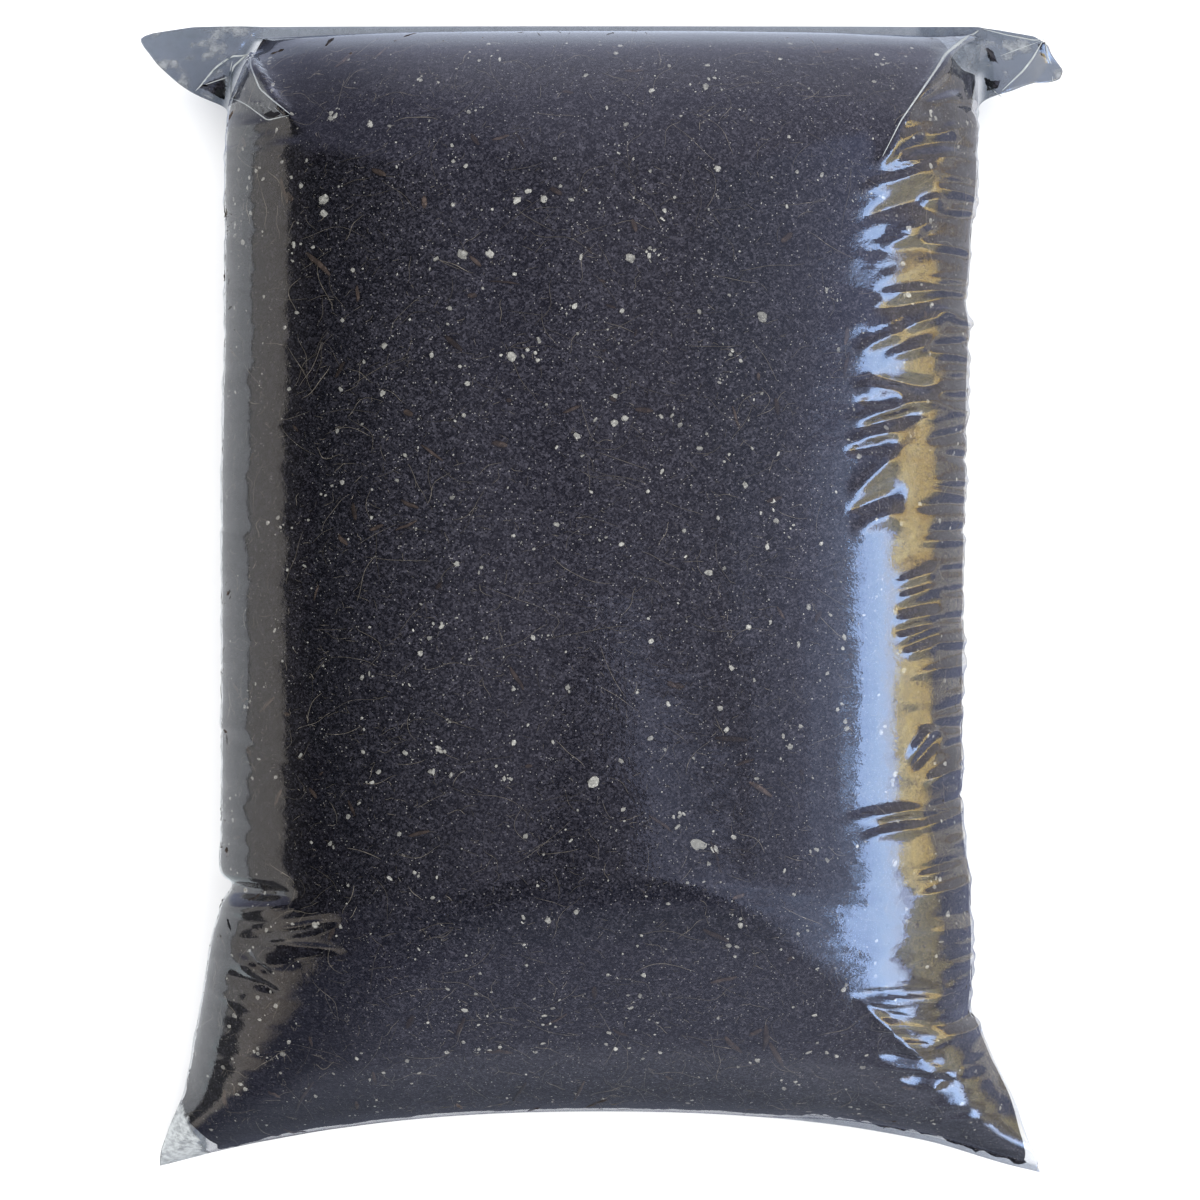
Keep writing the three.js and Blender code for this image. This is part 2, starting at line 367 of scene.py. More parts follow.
# Heights of the facets of the hood, the loose film over the left corner, above the skin.
HOOD_CORNERS = {
    "peak": (-132.4, 206.5, 0.3), "crest": (-129.5, 196.0, 3.4), "side": (-140.0, 182.0, 0.0),
    "tip": (-112.5, 174.2, 3.4), "outer": (-120.5, 186.5, 2.6), "lip": (-129.5, 179.8, 1.4),
    "middle": (-121.5, 179.8, 2.0),
}
HOOD_FACETS = (
    ("peak", "crest", "outer"), ("crest", "outer", "middle"), ("outer", "middle", "tip"), ("crest", "middle", "lip"),
    ("crest", "lip", "side"), ("middle", "lip", "tip"),
)
# Heights of the flat ears' facets above their resting plane.
LEFT_EAR_CORNERS = {
    "tip": (-180.0, 214.5, -1.0), "top": (-156.0, 221.0, 0.9), "root": (-126.0, 221.0, 0.0),
    "edge": (-167.0, 194.0, 0.0), "low": (-154.0, 186.0, 0.9), "fold": (-150.5, 191.5, 1.6),
    "rise": (-145.5, 198.7, 2.4), "ridge": (-139.7, 204.0, 2.2), "hollow": (-143.0, 194.5, -1.4),
    "base": (-139.0, 182.0, 0.0), "dip": (-157.0, 203.0, -0.5),
}
LEFT_EAR_FACETS = (
    ("tip", "top", "dip"), ("tip", "dip", "edge"), ("edge", "dip", "low"), ("dip", "low", "fold"),
    ("dip", "fold", "rise"), ("dip", "rise", "top"), ("top", "rise", "ridge"), ("top", "ridge", "root"),
    ("fold", "hollow", "low"), ("low", "hollow", "base"),
)
RIGHT_EAR_CORNERS = {
    "apex": (143.0, 221.0, 0.4), "peak": (168.5, 211.5, 2.6), "valley": (155.5, 204.0, -0.9),
    "foot": (151.0, 189.0, 1.2), "root": (141.0, 202.0, 0.6), "base": (141.0, 183.0, 0.0),
    "low": (163.0, 193.0, -0.8), "end": (172.0, 196.5, 0.6), "tip": (175.5, 202.0, -1.0),
    "pinch": (170.5, 202.0, -1.2),
}
RIGHT_EAR_FACETS = (
    ("apex", "peak", "valley"), ("peak", "valley", "foot"), ("apex", "valley", "root"),
    ("valley", "foot", "root"), ("root", "foot", "base"), ("peak", "foot", "low"),
    ("peak", "low", "pinch"), ("low", "pinch", "end"),
    ("pinch", "end", "tip"), ("peak", "pinch", "tip"),
)
# Creases pressed into the ears: the points of each, and its height.
EAR_CREASES = (
    (((-151.0, 192.0), (-145.7, 199.2), (-139.7, 204.2), (-134.0, 204.6), (-131.3, 203.3)), 0.6),
    (((-151.0, 192.0), (-140.3, 196.0), (-134.0, 198.0)), 0.35),
    (((-139.5, 202.2), (-140.3, 196.0)), 0.35),
    (((168.3, 211.5), (163.6, 203.8), (159.5, 198.5), (150.9, 190.2)), 0.6),
    (((168.3, 211.5), (169.9, 204.6), (171.5, 202.2)), 0.45),
    (((144.6, 193.6), (148.8, 189.4), (151.0, 188.0)), 0.4),
    (((145.0, 217.0), (154.0, 213.4), (164.6, 211.0), (168.3, 211.5)), 0.35),
)

# Painted highlights: bright glint lines along the film's folds and crests, as points of x, y and half width: the right
# corner's crest, the hood's, the ears', and a loose wisp.
FOLD_GLINTS = (
    (
        (143.6, 215.0, 0.2), (138.6, 211.0, 0.5), (131.8, 204.3, 0.8), (127.2, 199.8, 0.7), (121.5, 191.0, 0.42),
        (114.6, 180.8, 0.34), (107.6, 170.6, 0.26), (100.6, 157.0, 0.1),
    ),
    (
        (-153.0, 190.0, 0.05), (-151.0, 192.0, 0.3), (-145.7, 199.2, 0.36), (-139.7, 204.2, 0.4), (-134.0, 204.6, 0.3),
        (-131.3, 203.3, 0.1),
    ),
    ((-151.0, 192.0, 0.05), (-146.0, 194.0, 0.22), (-140.3, 196.0, 0.2), (-137.0, 197.0, 0.05)),
    ((-139.5, 202.6, 0.05), (-140.0, 199.0, 0.22), (-140.3, 196.0, 0.1)),
    ((-132.4, 206.0, 0.2), (-135.5, 203.5, 0.4), (-139.1, 200.0, 0.4), (-139.6, 192.0, 0.3), (-139.4, 184.0, 0.05)),
    ((-132.4, 206.0, 0.2), (-129.5, 196.0, 0.3), (-124.2, 184.5, 0.28), (-118.0, 178.5, 0.3), (-112.1, 173.7, 0.08)),
    ((-138.5, 185.5, 0.05), (-133.0, 182.0, 0.22), (-129.3, 179.5, 0.24), (-121.1, 172.6, 0.26), (-112.4, 173.4, 0.08)),
    ((168.4, 212.0, 0.1), (163.6, 203.8, 0.34), (159.5, 198.5, 0.4), (150.9, 190.2, 0.12)),
    ((168.4, 212.0, 0.1), (169.9, 204.6, 0.3), (171.5, 202.2, 0.1)),
    ((144.6, 193.6, 0.1), (148.8, 189.4, 0.3), (151.0, 188.0, 0.1)),
    ((145.0, 215.5, 0.1), (154.0, 213.0, 0.2), (164.6, 211.0, 0.24), (168.3, 211.5, 0.1)),
    ((150.5, 204.5, 0.05), (158.0, 207.5, 0.16), (167.5, 211.0, 0.05)),
    ((171.2, 197.4, 0.12), (171.6, 192.5, 0.1), (169.0, 188.0, 0.08), (167.4, 184.6, 0.04)),
)
# Dark patches in the ears: the corners of each thin layer, in the crumbs' material, that lies between the two sheets.
POCKETS = (
    ((-151.6, 191.8), (-147.0, 194.6), (-142.0, 196.6), (-141.4, 191.0), (-142.0, 187.0), (-147.0, 189.6)),
    ((144.6, 195.6), (147.0, 194.4), (150.8, 194.6), (149.4, 191.4), (145.6, 190.4)),
    ((145.6, 208.0), (148.6, 206.6), (150.4, 201.8), (147.0, 202.6)),
    ((166.0, 209.4), (168.6, 210.6), (171.0, 203.4), (167.2, 205.4)),
)
# Short dark gaps on the film, as x, y, half length, half width and heading in degrees: the vent, and the shade under
# the hood's lip.
GAPS = ((-136.4, -120.3, 2.4, 0.8, -38.0), (-119.6, 174.8, 5.2, 1.3, -8.0))


def stations(spans):
    """Positions along a line made of spans, each given as its end and its spacing."""
    places = [0.0]
    for end, spacing in spans:
        count = max(1, int(round((end - places[-1]) / spacing)))
        places.extend(np.linspace(places[-1], end, count + 1)[1:])
    return np.array(places)


def across_stations(fine, side, middle):
    """Arc positions over one film: fine where the ears are, less fine down the sides and widest in the middle."""
    half = stations(((46, fine), (92, side), (HALF_GIRTH / 2, middle)))
    return np.concatenate([half, (HALF_GIRTH - half)[-2::-1]])


def film_rings():
    """The film: skin rings with all their relief, the ears in flat facets, and the right one pulled down and curled."""
    arc = across_stations(0.9, 1.35, 3.6)
    from_seal = stations(((3, 1.0), (390, 1.15), (LENGTH, 0.6), (LENGTH + SQUARE_FLANGE, 0.86)))
    rings = skin_rings(from_seal, arc)
    rings = rings + ring_normals(rings) * big_relief(rings)[..., None]
    hood = smooth(38, 46, rings[..., 2]) * facet_relief(rings, HOOD_CORNERS, HOOD_FACETS)
    rings = rings + ring_normals(rings) * hood[..., None]
    rings = rings + ring_normals(rings) * film_relief(rings)[..., None]
    x, y, z = rings[..., 0], rings[..., 1], rings[..., 2]
    body = np.where(x > 0, 142.5, 128 + 13 * smooth(213, 184, y))
    out = np.clip(np.abs(x) - body, 0, None) * smooth(EAR_START, EAR_START + 4, y)
    in_ear = smooth(0, 2.5, out)
    right = in_ear * (x > 0)
    flatter = 42 + 11 * smooth(217, 184, y)
    z = z + smooth(0, 9, out) * (flatter - z)
    y = y - right * out * 0.17 - right * np.clip(out - 22, 0, None) * 0.45
    flat = np.stack([x, y, z], axis=-1)
    sheet = facet_relief(flat, LEFT_EAR_CORNERS, LEFT_EAR_FACETS)
    sheet = sheet + facet_relief(flat, RIGHT_EAR_CORNERS, RIGHT_EAR_FACETS)
    sheet = sheet + 0.35 * value_noise(flat * np.array([1, 1, 0.05]), 6, 22) - out * 0.12
    z = z + in_ear * sheet
    crease = sum(path_relief(flat, path, 0.7 * height, 1.3, 1.6) for path, height in EAR_CREASES)
    z = z + crease * smooth(120, 130, np.abs(x)) * smooth(180, 184, y)
    # A hair's breadth keeps the two sheets apart where they lie on each other.
    edge = np.minimum(arc, HALF_GIRTH - arc)
    apart = 0.22 * smooth(0, 1.8, edge)
    z = z + np.concatenate([apart, -apart[-2:0:-1]])[None]
    z = np.maximum(z, 0.25)
    return np.stack([x, y, z], axis=-1), arc, from_seal


def at_the_edge(normal, y):
    """How far a place belongs to the pack's outline, from 0 on top to 1 at the sides and close to both seals."""
    return np.maximum(smooth(0.8, 0.35, np.abs(normal[..., 2])), smooth(200, 208, np.abs(y)))


def fill_rings():
    """The compost: the same skin without ears, shrunk inwards along its normals, lumpy, and short of both seals."""
    from_seal = stations(((LENGTH - 1.2, 1.6),))[1:]
    from_seal[0] = 0.9
    arc = np.linspace(0, HALF_GIRTH, FILL_COLUMNS)
    rings = skin_rings(from_seal, arc, ears=False, inset=True)
    rings = rings + ring_normals(rings) * big_relief(rings)[..., None]
    normal = ring_normals(rings)
    edge = at_the_edge(normal, rings[..., 1])
    lumps = 0.3 * value_noise(rings, 9, 31) + 0.3 * value_noise(rings, 3.2, 32) + 0.22 * value_noise(rings, 1.9, 33)
    pressed = np.minimum(film_relief(rings) + 0.15, 0)
    rings = rings + normal * (lumps * (1 - 0.6 * edge) + pressed - 1.45 + 0.85 * edge)[..., None]
    x, y = rings[..., 0], rings[..., 1]
    # The square end's corners are empty, the right one more so.
    x = x - 1.8 * smooth(128, 136, x) * smooth(178, 186, y)
    short = 3 * smooth(-129, -136, x) + 13 * smooth(126, 138, x)
    y = y - short * smooth(LENGTH - 34, LENGTH - 3, from_seal)[:, None]
    ragged = 0.9 * value_noise(rings, 6, 34) + 0.8 * value_noise(rings, 2.2, 35)
    y = y + 0.5 * (1 + ragged) * smooth(9, 0, from_seal)[:, None]
    y = y + (1.0 + 0.8 * ragged) * smooth(70, 84, x) * smooth(14, 0, from_seal)[:, None]
    z = np.maximum(rings[..., 2], 0.9)
    return np.stack([x, y, z], axis=-1)


def painted_shade_and_darkening(x, y):
    """Painted shade and darkening on the compost: the share of its colour that it keeps, less on the left, which leans
    away from the window light, and less in the lower middle.
    """
    return (1 - 0.5 * smooth(-62, -106, x)) * (1 - 0.22 * smooth(10, -90, y) * smooth(-150, -110, y))


# ---------------------------------------------------------------- meshes


def made_object(name, points, faces, material, smooth_shade=True):
    """A new object from points in millimetres and faces, at the origin."""
    mesh = bpy.data.meshes.new(name)
    mesh.from_pydata((np.asarray(points, float).reshape(-1, 3) * MM).tolist(), [], faces)
    mesh.validate()
    mesh.polygons.foreach_set("use_smooth", np.full(len(mesh.polygons), smooth_shade))
    mesh.materials.append(material)
    piece = bpy.data.objects.new(name, mesh)
    bpy.context.scene.collection.objects.link(piece)
    return piece


def ring_faces(count, around, columns):
    """Quads between neighbouring rings, and strips from the upper film to the lower over each end."""
    r, i = np.meshgrid(np.arange(count - 1), np.arange(around), indexing="ij")
    a, b = r * around + i, r * around + (i + 1) % around
    faces = np.stack([a, b, b + around, a + around], axis=-1).reshape(-1, 4).tolist()
    j = np.arange(columns - 1)
    strip = np.stack([j, (around - j) % around, (around - j - 1) % around, j + 1], axis=-1)
    last = (count - 1) * around
    for low, flip in ((0, False), (last, True)):
        for quad in strip + low:
            corners = list(dict.fromkeys(quad.tolist()))
            faces.append(corners[::-1] if flip else corners)
    return faces


def make_outward(piece):
    """Turns every face outwards, if the closed mesh was built inside out."""
    mesh = piece.data
    mesh.calc_loop_triangles()
    tris = np.empty(len(mesh.loop_triangles) * 3, np.int32)
    mesh.loop_triangles.foreach_get("vertices", tris)
    co = np.empty(len(mesh.vertices) * 3, np.float32)
    mesh.vertices.foreach_get("co", co)
    corner = co.reshape(-1, 3)[tris.reshape(-1, 3)]
    if np.sum(corner[:, 0] * np.cross(corner[:, 1], corner[:, 2])) < 0:
        mesh.flip_normals()


def point_numbers(piece, name, numbers):
    """Stores one number for each point of a piece, for its material."""
    layer = piece.data.attributes.new(name, "FLOAT", "POINT")
    layer.data.foreach_set("value", np.asarray(numbers, np.float32).ravel())


class Skin:
    """The compost's surface as a grid that can be read anywhere, for laying grains and roots on it."""

    def __init__(self, rings):
        self.points = rings
        self.normals = ring_normals(rings)
        du = np.roll(rings, -1, axis=1) - rings
        dv = np.diff(rings, axis=0)
        area = np.linalg.norm(np.cross(du[:-1], dv), axis=-1)
        area = area * np.where(rings[:-1, :, 2] > 30, 1.0, 0.35)
        area[:3] = area[-4:] = 0
        self.chance = (area / area.sum()).ravel()

    def at(self, i, j):
        """Points and normals at fractional grid places, by bilinear mixing that wraps round the girth."""
        rows, columns = self.points.shape[:2]
        i = np.clip(i, 0, rows - 1.001)
        i0, j0 = np.floor(i).astype(int), np.floor(j).astype(int)
        fi, fj = (i - i0)[..., None], (j - j0)[..., None]
        out = []
        for grid in (self.points, self.normals):
            a, b = grid[i0, j0 % columns], grid[i0, (j0 + 1) % columns]
            c, d = grid[i0 + 1, j0 % columns], grid[i0 + 1, (j0 + 1) % columns]
            out.append((a * (1 - fj) + b * fj) * (1 - fi) + (c * (1 - fj) + d * fj) * fi)
        out[1] /= np.maximum(np.linalg.norm(out[1], axis=-1, keepdims=True), 1e-9)
        return out

    def scatter(self, count, rng):
        """Grid places spread evenly over the surface's area."""
        columns = self.points.shape[1]
        cell = rng.choice(self.chance.size, count, p=self.chance)
        return cell // columns + rng.random(count), cell % columns + rng.random(count)

    def above(self, x, y):
        """Grid places on the upper side that are nearest to points on the plan."""
        columns = self.points.shape[1] // 2
        top = self.points[:, :columns]
        flat = top.reshape(-1, 3)
        nearest = [int(np.argmin(np.hypot(flat[:, 0] - a, flat[:, 1] - b))) for a, b in zip(x, y)]
        nearest = np.array(nearest)
        return (nearest // columns).astype(float), (nearest % columns).astype(float)


def glint_strips(upper, lines, material):
    """Thin raised strips of painted highlight along lines on the plan, laid on the upper film.

    Each line is read at even steps. Its height is the mean of the nearest film points, weighted by 1 / distance
    squared and smoothed along the line. The section is a flattened hexagon of the line's half width.
    """
    flat = upper.reshape(-1, 3)
    points, faces, start = [], [], 0
    turn = np.linspace(0, 2 * np.pi, 6, endpoint=False)
    for line in lines:
        line = np.array(line)
        length = np.concatenate([[0], np.cumsum(np.hypot(*np.diff(line[:, :2], axis=0).T))])
        at = np.linspace(0, length[-1], max(6, int(length[-1] / 0.9)))
        x, y, wide = (softened_line(at, length, line[:, k]) for k in range(3))
        height = []
        for a, b in zip(x, y):
            away = (flat[:, 0] - a) ** 2 + (flat[:, 1] - b) ** 2
            near = np.argpartition(away, 6)[:6]
            weight = 1 / (away[near] + 0.05)
            height.append(np.sum(weight * flat[near, 2]) / weight.sum())
        height = np.convolve(np.pad(height, 3, mode="edge"), np.ones(7) / 7, mode="valid")
        along = np.stack([np.gradient(x), np.gradient(y)], axis=-1)
        along /= np.linalg.norm(along, axis=1, keepdims=True)
        side = np.stack([-along[:, 1], along[:, 0], np.zeros(len(x))], axis=-1)
        centre = np.stack([x, y, height + 0.12 + 0.25 * wide], axis=-1)
        ring = np.cos(turn)[None, :, None] * side[:, None] + 0.6 * np.sin(turn)[None, :, None] * UP
        points.append((centre[:, None] + ring * wide[:, None, None]).reshape(-1, 3))
        k, m = np.meshgrid(np.arange(len(x) - 1), np.arange(6), indexing="ij")
        a, b = start + k * 6 + m, start + k * 6 + (m + 1) % 6
        faces += np.stack([a, b, b + 6, a + 6], axis=-1).reshape(-1, 4).tolist()
        last = start + 6 * len(x)
        faces += [list(range(start, start + 6))[::-1], list(range(last - 6, last))]
        start = last
    piece = made_object("painted_fold_glints", np.concatenate(points), faces, material)
    make_outward(piece)
    return piece


def pocket_layers(material):
    """Thin dark layers, in the crumbs' material, between the two sheets of the ears.

    Each is a fan of triangles about its middle, with its outline divided and roughened, given a thickness. Its height
    is that of the middle between the two sheets.
    """
    rings, arc, _ = film_rings()
    top = rings[:, : len(arc)]
    bottom = np.concatenate([rings[:, :1], rings[:, : len(arc) - 2 : -1]], axis=1)
    between = ((top + bottom) / 2).reshape(-1, 3)
    rng = np.random.default_rng(59)
    points, faces, start = [], [], 0
    for corners in POCKETS:
        corners = np.array(corners + corners[:1])
        share = np.linspace(0, len(corners) - 1, 8 * (len(corners) - 1), endpoint=False)
        rim = np.stack([np.interp(share, np.arange(len(corners)), corners[:, k]) for k in (0, 1)], axis=-1)
        rim += rng.normal(0, 0.16, rim.shape)
        flat = np.concatenate([rim, rim.mean(0)[None]])
        nearest = [np.argmin(np.hypot(*(between[:, :2] - place).T)) for place in flat]
        height = between[nearest, 2]
        n = len(rim)
        for shift in (0.06, -0.06):
            points.append(np.column_stack([flat, height + shift]))
        k, following = np.arange(n), (np.arange(n) + 1) % n
        faces += (start + np.stack([k, following, np.full(n, n)], axis=-1)).tolist()
        faces += (start + n + 1 + np.stack([following, k, np.full(n, n)], axis=-1)).tolist()
        faces += (start + np.stack([following, k, k + n + 1, following + n + 1], axis=-1)).tolist()
        start += 2 * (n + 1)
    piece = made_object("pocket_layers", np.concatenate(points), faces, material, smooth_shade=False)
    make_outward(piece)
    point_numbers(piece, "tone_and_shade", np.full(start, 0.35))
    return piece


def softened_line(at, length, values):
    """A value read along a line, as the mean of three readings close together, which rounds its corners."""
    return np.mean([np.interp(at + shift, length, values) for shift in (-0.9, 0, 0.9)], axis=0)


def frames_on(normal, rng):
    """Rotation matrices whose third axis is the normal and whose first is turned at random about it."""
    helper = np.where(np.abs(normal[:, 2:3]) < 0.9, [[0.0, 0.0, 1.0]], [[1.0, 0.0, 0.0]])
    a = np.cross(normal, helper)
    a /= np.linalg.norm(a, axis=1, keepdims=True)
    b = np.cross(normal, a)
    turn = rng.uniform(0, 2 * np.pi, (len(normal), 1))
    first = a * np.cos(turn) + b * np.sin(turn)
    return np.stack([first, np.cross(normal, first), normal], axis=-1)


def icosahedron():
    """The 12 points and 20 faces of a unit icosahedron, from three golden rectangles."""
    g = (1 + 5**0.5) / 2
    p = np.array([
        (-1, g, 0), (1, g, 0), (-1, -g, 0), (1, -g, 0), (0, -1, g), (0, 1, g),
        (0, -1, -g), (0, 1, -g), (g, 0, -1), (g, 0, 1), (-g, 0, -1), (-g, 0, 1),
    ])
    f = np.array([
        (0, 11, 5), (0, 5, 1), (0, 1, 7), (0, 7, 10), (0, 10, 11), (1, 5, 9), (5, 11, 4), (11, 10, 2), (10, 7, 6),
        (7, 1, 8), (3, 9, 4), (3, 4, 2), (3, 2, 6), (3, 6, 8), (3, 8, 9), (4, 9, 5), (2, 4, 11), (6, 2, 10), (8, 6, 7),
        (9, 8, 1),
    ])
    return p / np.linalg.norm(p[0]), f


def divided(points, faces):
    """Each triangle split into four, with the new points pushed out to the unit sphere."""
    edges = np.sort(np.concatenate([faces[:, [0, 1]], faces[:, [1, 2]], faces[:, [2, 0]]]), axis=1)
    unique, index = np.unique(edges, axis=0, return_inverse=True)
    middle = points[unique].mean(axis=1)
    middle /= np.linalg.norm(middle, axis=1, keepdims=True)
    n = len(faces)
    index = index.reshape(-1) + len(points)
    ab, bc, ca = index[:n], index[n : 2 * n], index[2 * n :]
    a, b, c = faces.T
    new = np.concatenate([np.stack(t, 1) for t in ((a, ab, ca), (ab, b, bc), (ca, bc, c), (ab, bc, ca))])
    return np.concatenate([points, middle]), new


def grains(name, places, size, shape, roughness, sink, rng, material, flatten=(0.7, 1.0), detail=0):
    """Many irregular grains laid on the compost.

    Each is a sphere's points pushed in and out at random, stretched along three axes and sunk into the surface.
    """
    base, faces = icosahedron()
    for _ in range(detail):
        base, faces = divided(base, faces)
    point, normal = places
    count = len(point)
    radial = 1 + roughness * rng.uniform(-1, 1, (count, len(base), 1))
    long = rng.uniform(*shape, count)
    wide = rng.uniform(shape[0] * 0.8, shape[1] * 0.8, count)
    thick = rng.uniform(*flatten, count) * shape[0]
    scale = size[:, None] * np.stack([long, wide, thick], axis=-1)
    local = base[None] * radial * scale[:, None]
    world = np.einsum("nij,nkj->nki", frames_on(normal, rng), local)
    sink = sink - 0.5 * at_the_edge(normal, point[:, 1])[:, None]
    world += (point + normal * (sink - scale[:, 2:3] * 0.75))[:, None]
    world[..., 2] = np.maximum(world[..., 2], LOWEST_LOOSE)
    every = (faces[None] + (np.arange(count) * len(base))[:, None, None]).reshape(-1, 3)
    piece = made_object(name, world, every.tolist(), material, smooth_shade=False)
    # Each grain's tone is random, times the painted shade on the left and the darkening in the lower middle.
    tone_and_shade = rng.random(count) * painted_shade_and_darkening(point[:, 0], point[:, 1])
    point_numbers(piece, "tone_and_shade", np.repeat(tone_and_shade, len(base)))
    return piece


def strands(name, skin, count, length, radius, bend, lift, rng, material, sides=3, flat=1.0, joints=9):
    """Fine roots or slivers: tubes whose centre lines curve over the compost's grid and whose ends taper.

    The heading turns steadily by the curl and to and fro by the kink, and the radius swells as the root of a sine.
    """
    i0, j0 = skin.scatter(count, rng)
    heading = rng.uniform(0, 2 * np.pi, (count, 1))
    long = rng.uniform(*length, (count, 1)) * rng.uniform(0.4, 1, (count, 1))
    share = np.linspace(0, 1, joints)[None]
    curl = rng.normal(0, bend, (count, 1))
    kink = rng.normal(0, bend, (count, 1))
    angle = heading + curl * share * 2 + kink * np.sin(share * np.pi * 2)
    step = long / (joints - 1) / GRID_SPACING
    i = i0[:, None] + np.cumsum(np.sin(angle) * step, axis=1)
    j = j0[:, None] + np.cumsum(np.cos(angle) * step, axis=1)
    centre, normal = skin.at(i, j)
    tangent = np.gradient(centre, axis=1)
    tangent /= np.maximum(np.linalg.norm(tangent, axis=-1, keepdims=True), 1e-9)
    side = np.cross(normal, tangent)
    centre = centre + normal * (lift + 0.25 * np.sin(share * np.pi * 3 + heading))[..., None]
    turn = np.linspace(0, 2 * np.pi, sides, endpoint=False)
    thick = rng.uniform(*radius, (count, 1)) * (0.25 + 0.75 * np.sin(np.pi * np.clip(share, 0.02, 0.98)) ** 0.5)
    ring = side[:, :, None] * np.cos(turn)[None, None, :, None]
    ring = ring + flat * normal[:, :, None] * np.sin(turn)[None, None, :, None]
    world = centre[:, :, None] + ring * thick[:, :, None, None]
    world[..., 2] = np.maximum(world[..., 2], LOWEST_LOOSE)
    block = joints * sides
    k, m = np.meshgrid(np.arange(joints - 1), np.arange(sides), indexing="ij")
    a, b = k * sides + m, k * sides + (m + 1) % sides
    quads = np.stack([a, b, b + sides, a + sides], axis=-1).reshape(-1, 4)
    every = (quads[None] + (np.arange(count) * block)[:, None, None]).reshape(-1, 4).tolist()
    for start in range(0, count * block, block):
        every.append(list(range(start, start + sides))[::-1])
        every.append(list(range(start + block - sides, start + block)))
    piece = made_object(name, world, every, material, smooth_shade=sides > 3)
    point_numbers(piece, "tone_and_shade", np.repeat(rng.random(count), block))
    return piece


# ---------------------------------------------------------------- materials


def add(tree, kind, **settings):
    """A node of a kind, with its inputs and properties set by name."""
    made = tree.nodes.new(kind)
    for key, value in settings.items():
        if key in made.inputs:
            made.inputs[key].default_value = value
        else:
            setattr(made, key, value)
    return made


def join(tree, source, target):
    """Feeds an input: a node's output is linked to it, and a number or a colour becomes its own value."""
    if isinstance(source, bpy.types.NodeSocket):
        tree.links.new(source, target)
    else:
        target.default_value = (*source, 1) if hasattr(source, "__len__") else source


def worked(tree, operation, first, second=None, **settings):
    """A Math node's result for one or two values."""
    made = add(tree, "ShaderNodeMath", operation=operation, **settings)
    join(tree, first, made.inputs[0])
    if second is not None:
        join(tree, second, made.inputs[1])
    return made.outputs[0]


def ranged(tree, value, **limits):
    """A value carried from one range to another, by limits named from_min, from_max, to_min and to_max."""
    made = add(tree, "ShaderNodeMapRange")
    join(tree, value, made.inputs["Value"])
    for name, limit in limits.items():
        made.inputs[name.replace("_", " ").title()].default_value = limit
    return made.outputs["Result"]


def step_between(tree, value, low, high, top=1.0):
    """The cubic step of a value from 0 at low to the top at high."""
    made = add(tree, "ShaderNodeMapRange", interpolation_type="SMOOTHSTEP")
    for name, source in (("Value", value), ("From Min", low), ("From Max", high), ("To Max", top)):
        join(tree, source, made.inputs[name])
    return made.outputs["Result"]


def mixed(tree, share, first, second, blend="MIX"):
    """Two colours mixed by a share, or the first multiplied by the second."""
    made = add(tree, "ShaderNodeMix", data_type="RGBA", blend_type=blend)
    for source, socket in ((share, made.inputs["Factor"]), (first, made.inputs[6]), (second, made.inputs[7])):
        join(tree, source, socket)
    return made.outputs[2]


def mixed_shaders(tree, share, first, second):
    """Two shaders mixed by a share."""
    made = add(tree, "ShaderNodeMixShader")
    for source, socket in zip((share, first, second), made.inputs):
        join(tree, source, socket)
    return made.outputs[0]


def bumped(tree, height, strength, distance):
    """The normal that a height gives."""
    made = add(tree, "ShaderNodeBump", Strength=strength, Distance=distance)
    join(tree, height, made.inputs["Height"])
    return made.outputs["Normal"]


def noise(tree, vector, **settings):
    """A cloudy noise read at a place."""
    made = add(tree, "ShaderNodeTexNoise", **settings)
    join(tree, vector, made.inputs["Vector"])
    return made


def stored(tree, name):
    """The number kept on a piece's points under a name."""
    return add(tree, "ShaderNodeAttribute", attribute_name=name).outputs["Fac"]


def blank_material(name):
    """A material with only its output node."""
    made = bpy.data.materials.new(name)
    made.use_nodes = True
    made.node_tree.nodes.clear()
    return made, made.node_tree, made.node_tree.nodes.new("ShaderNodeOutputMaterial")


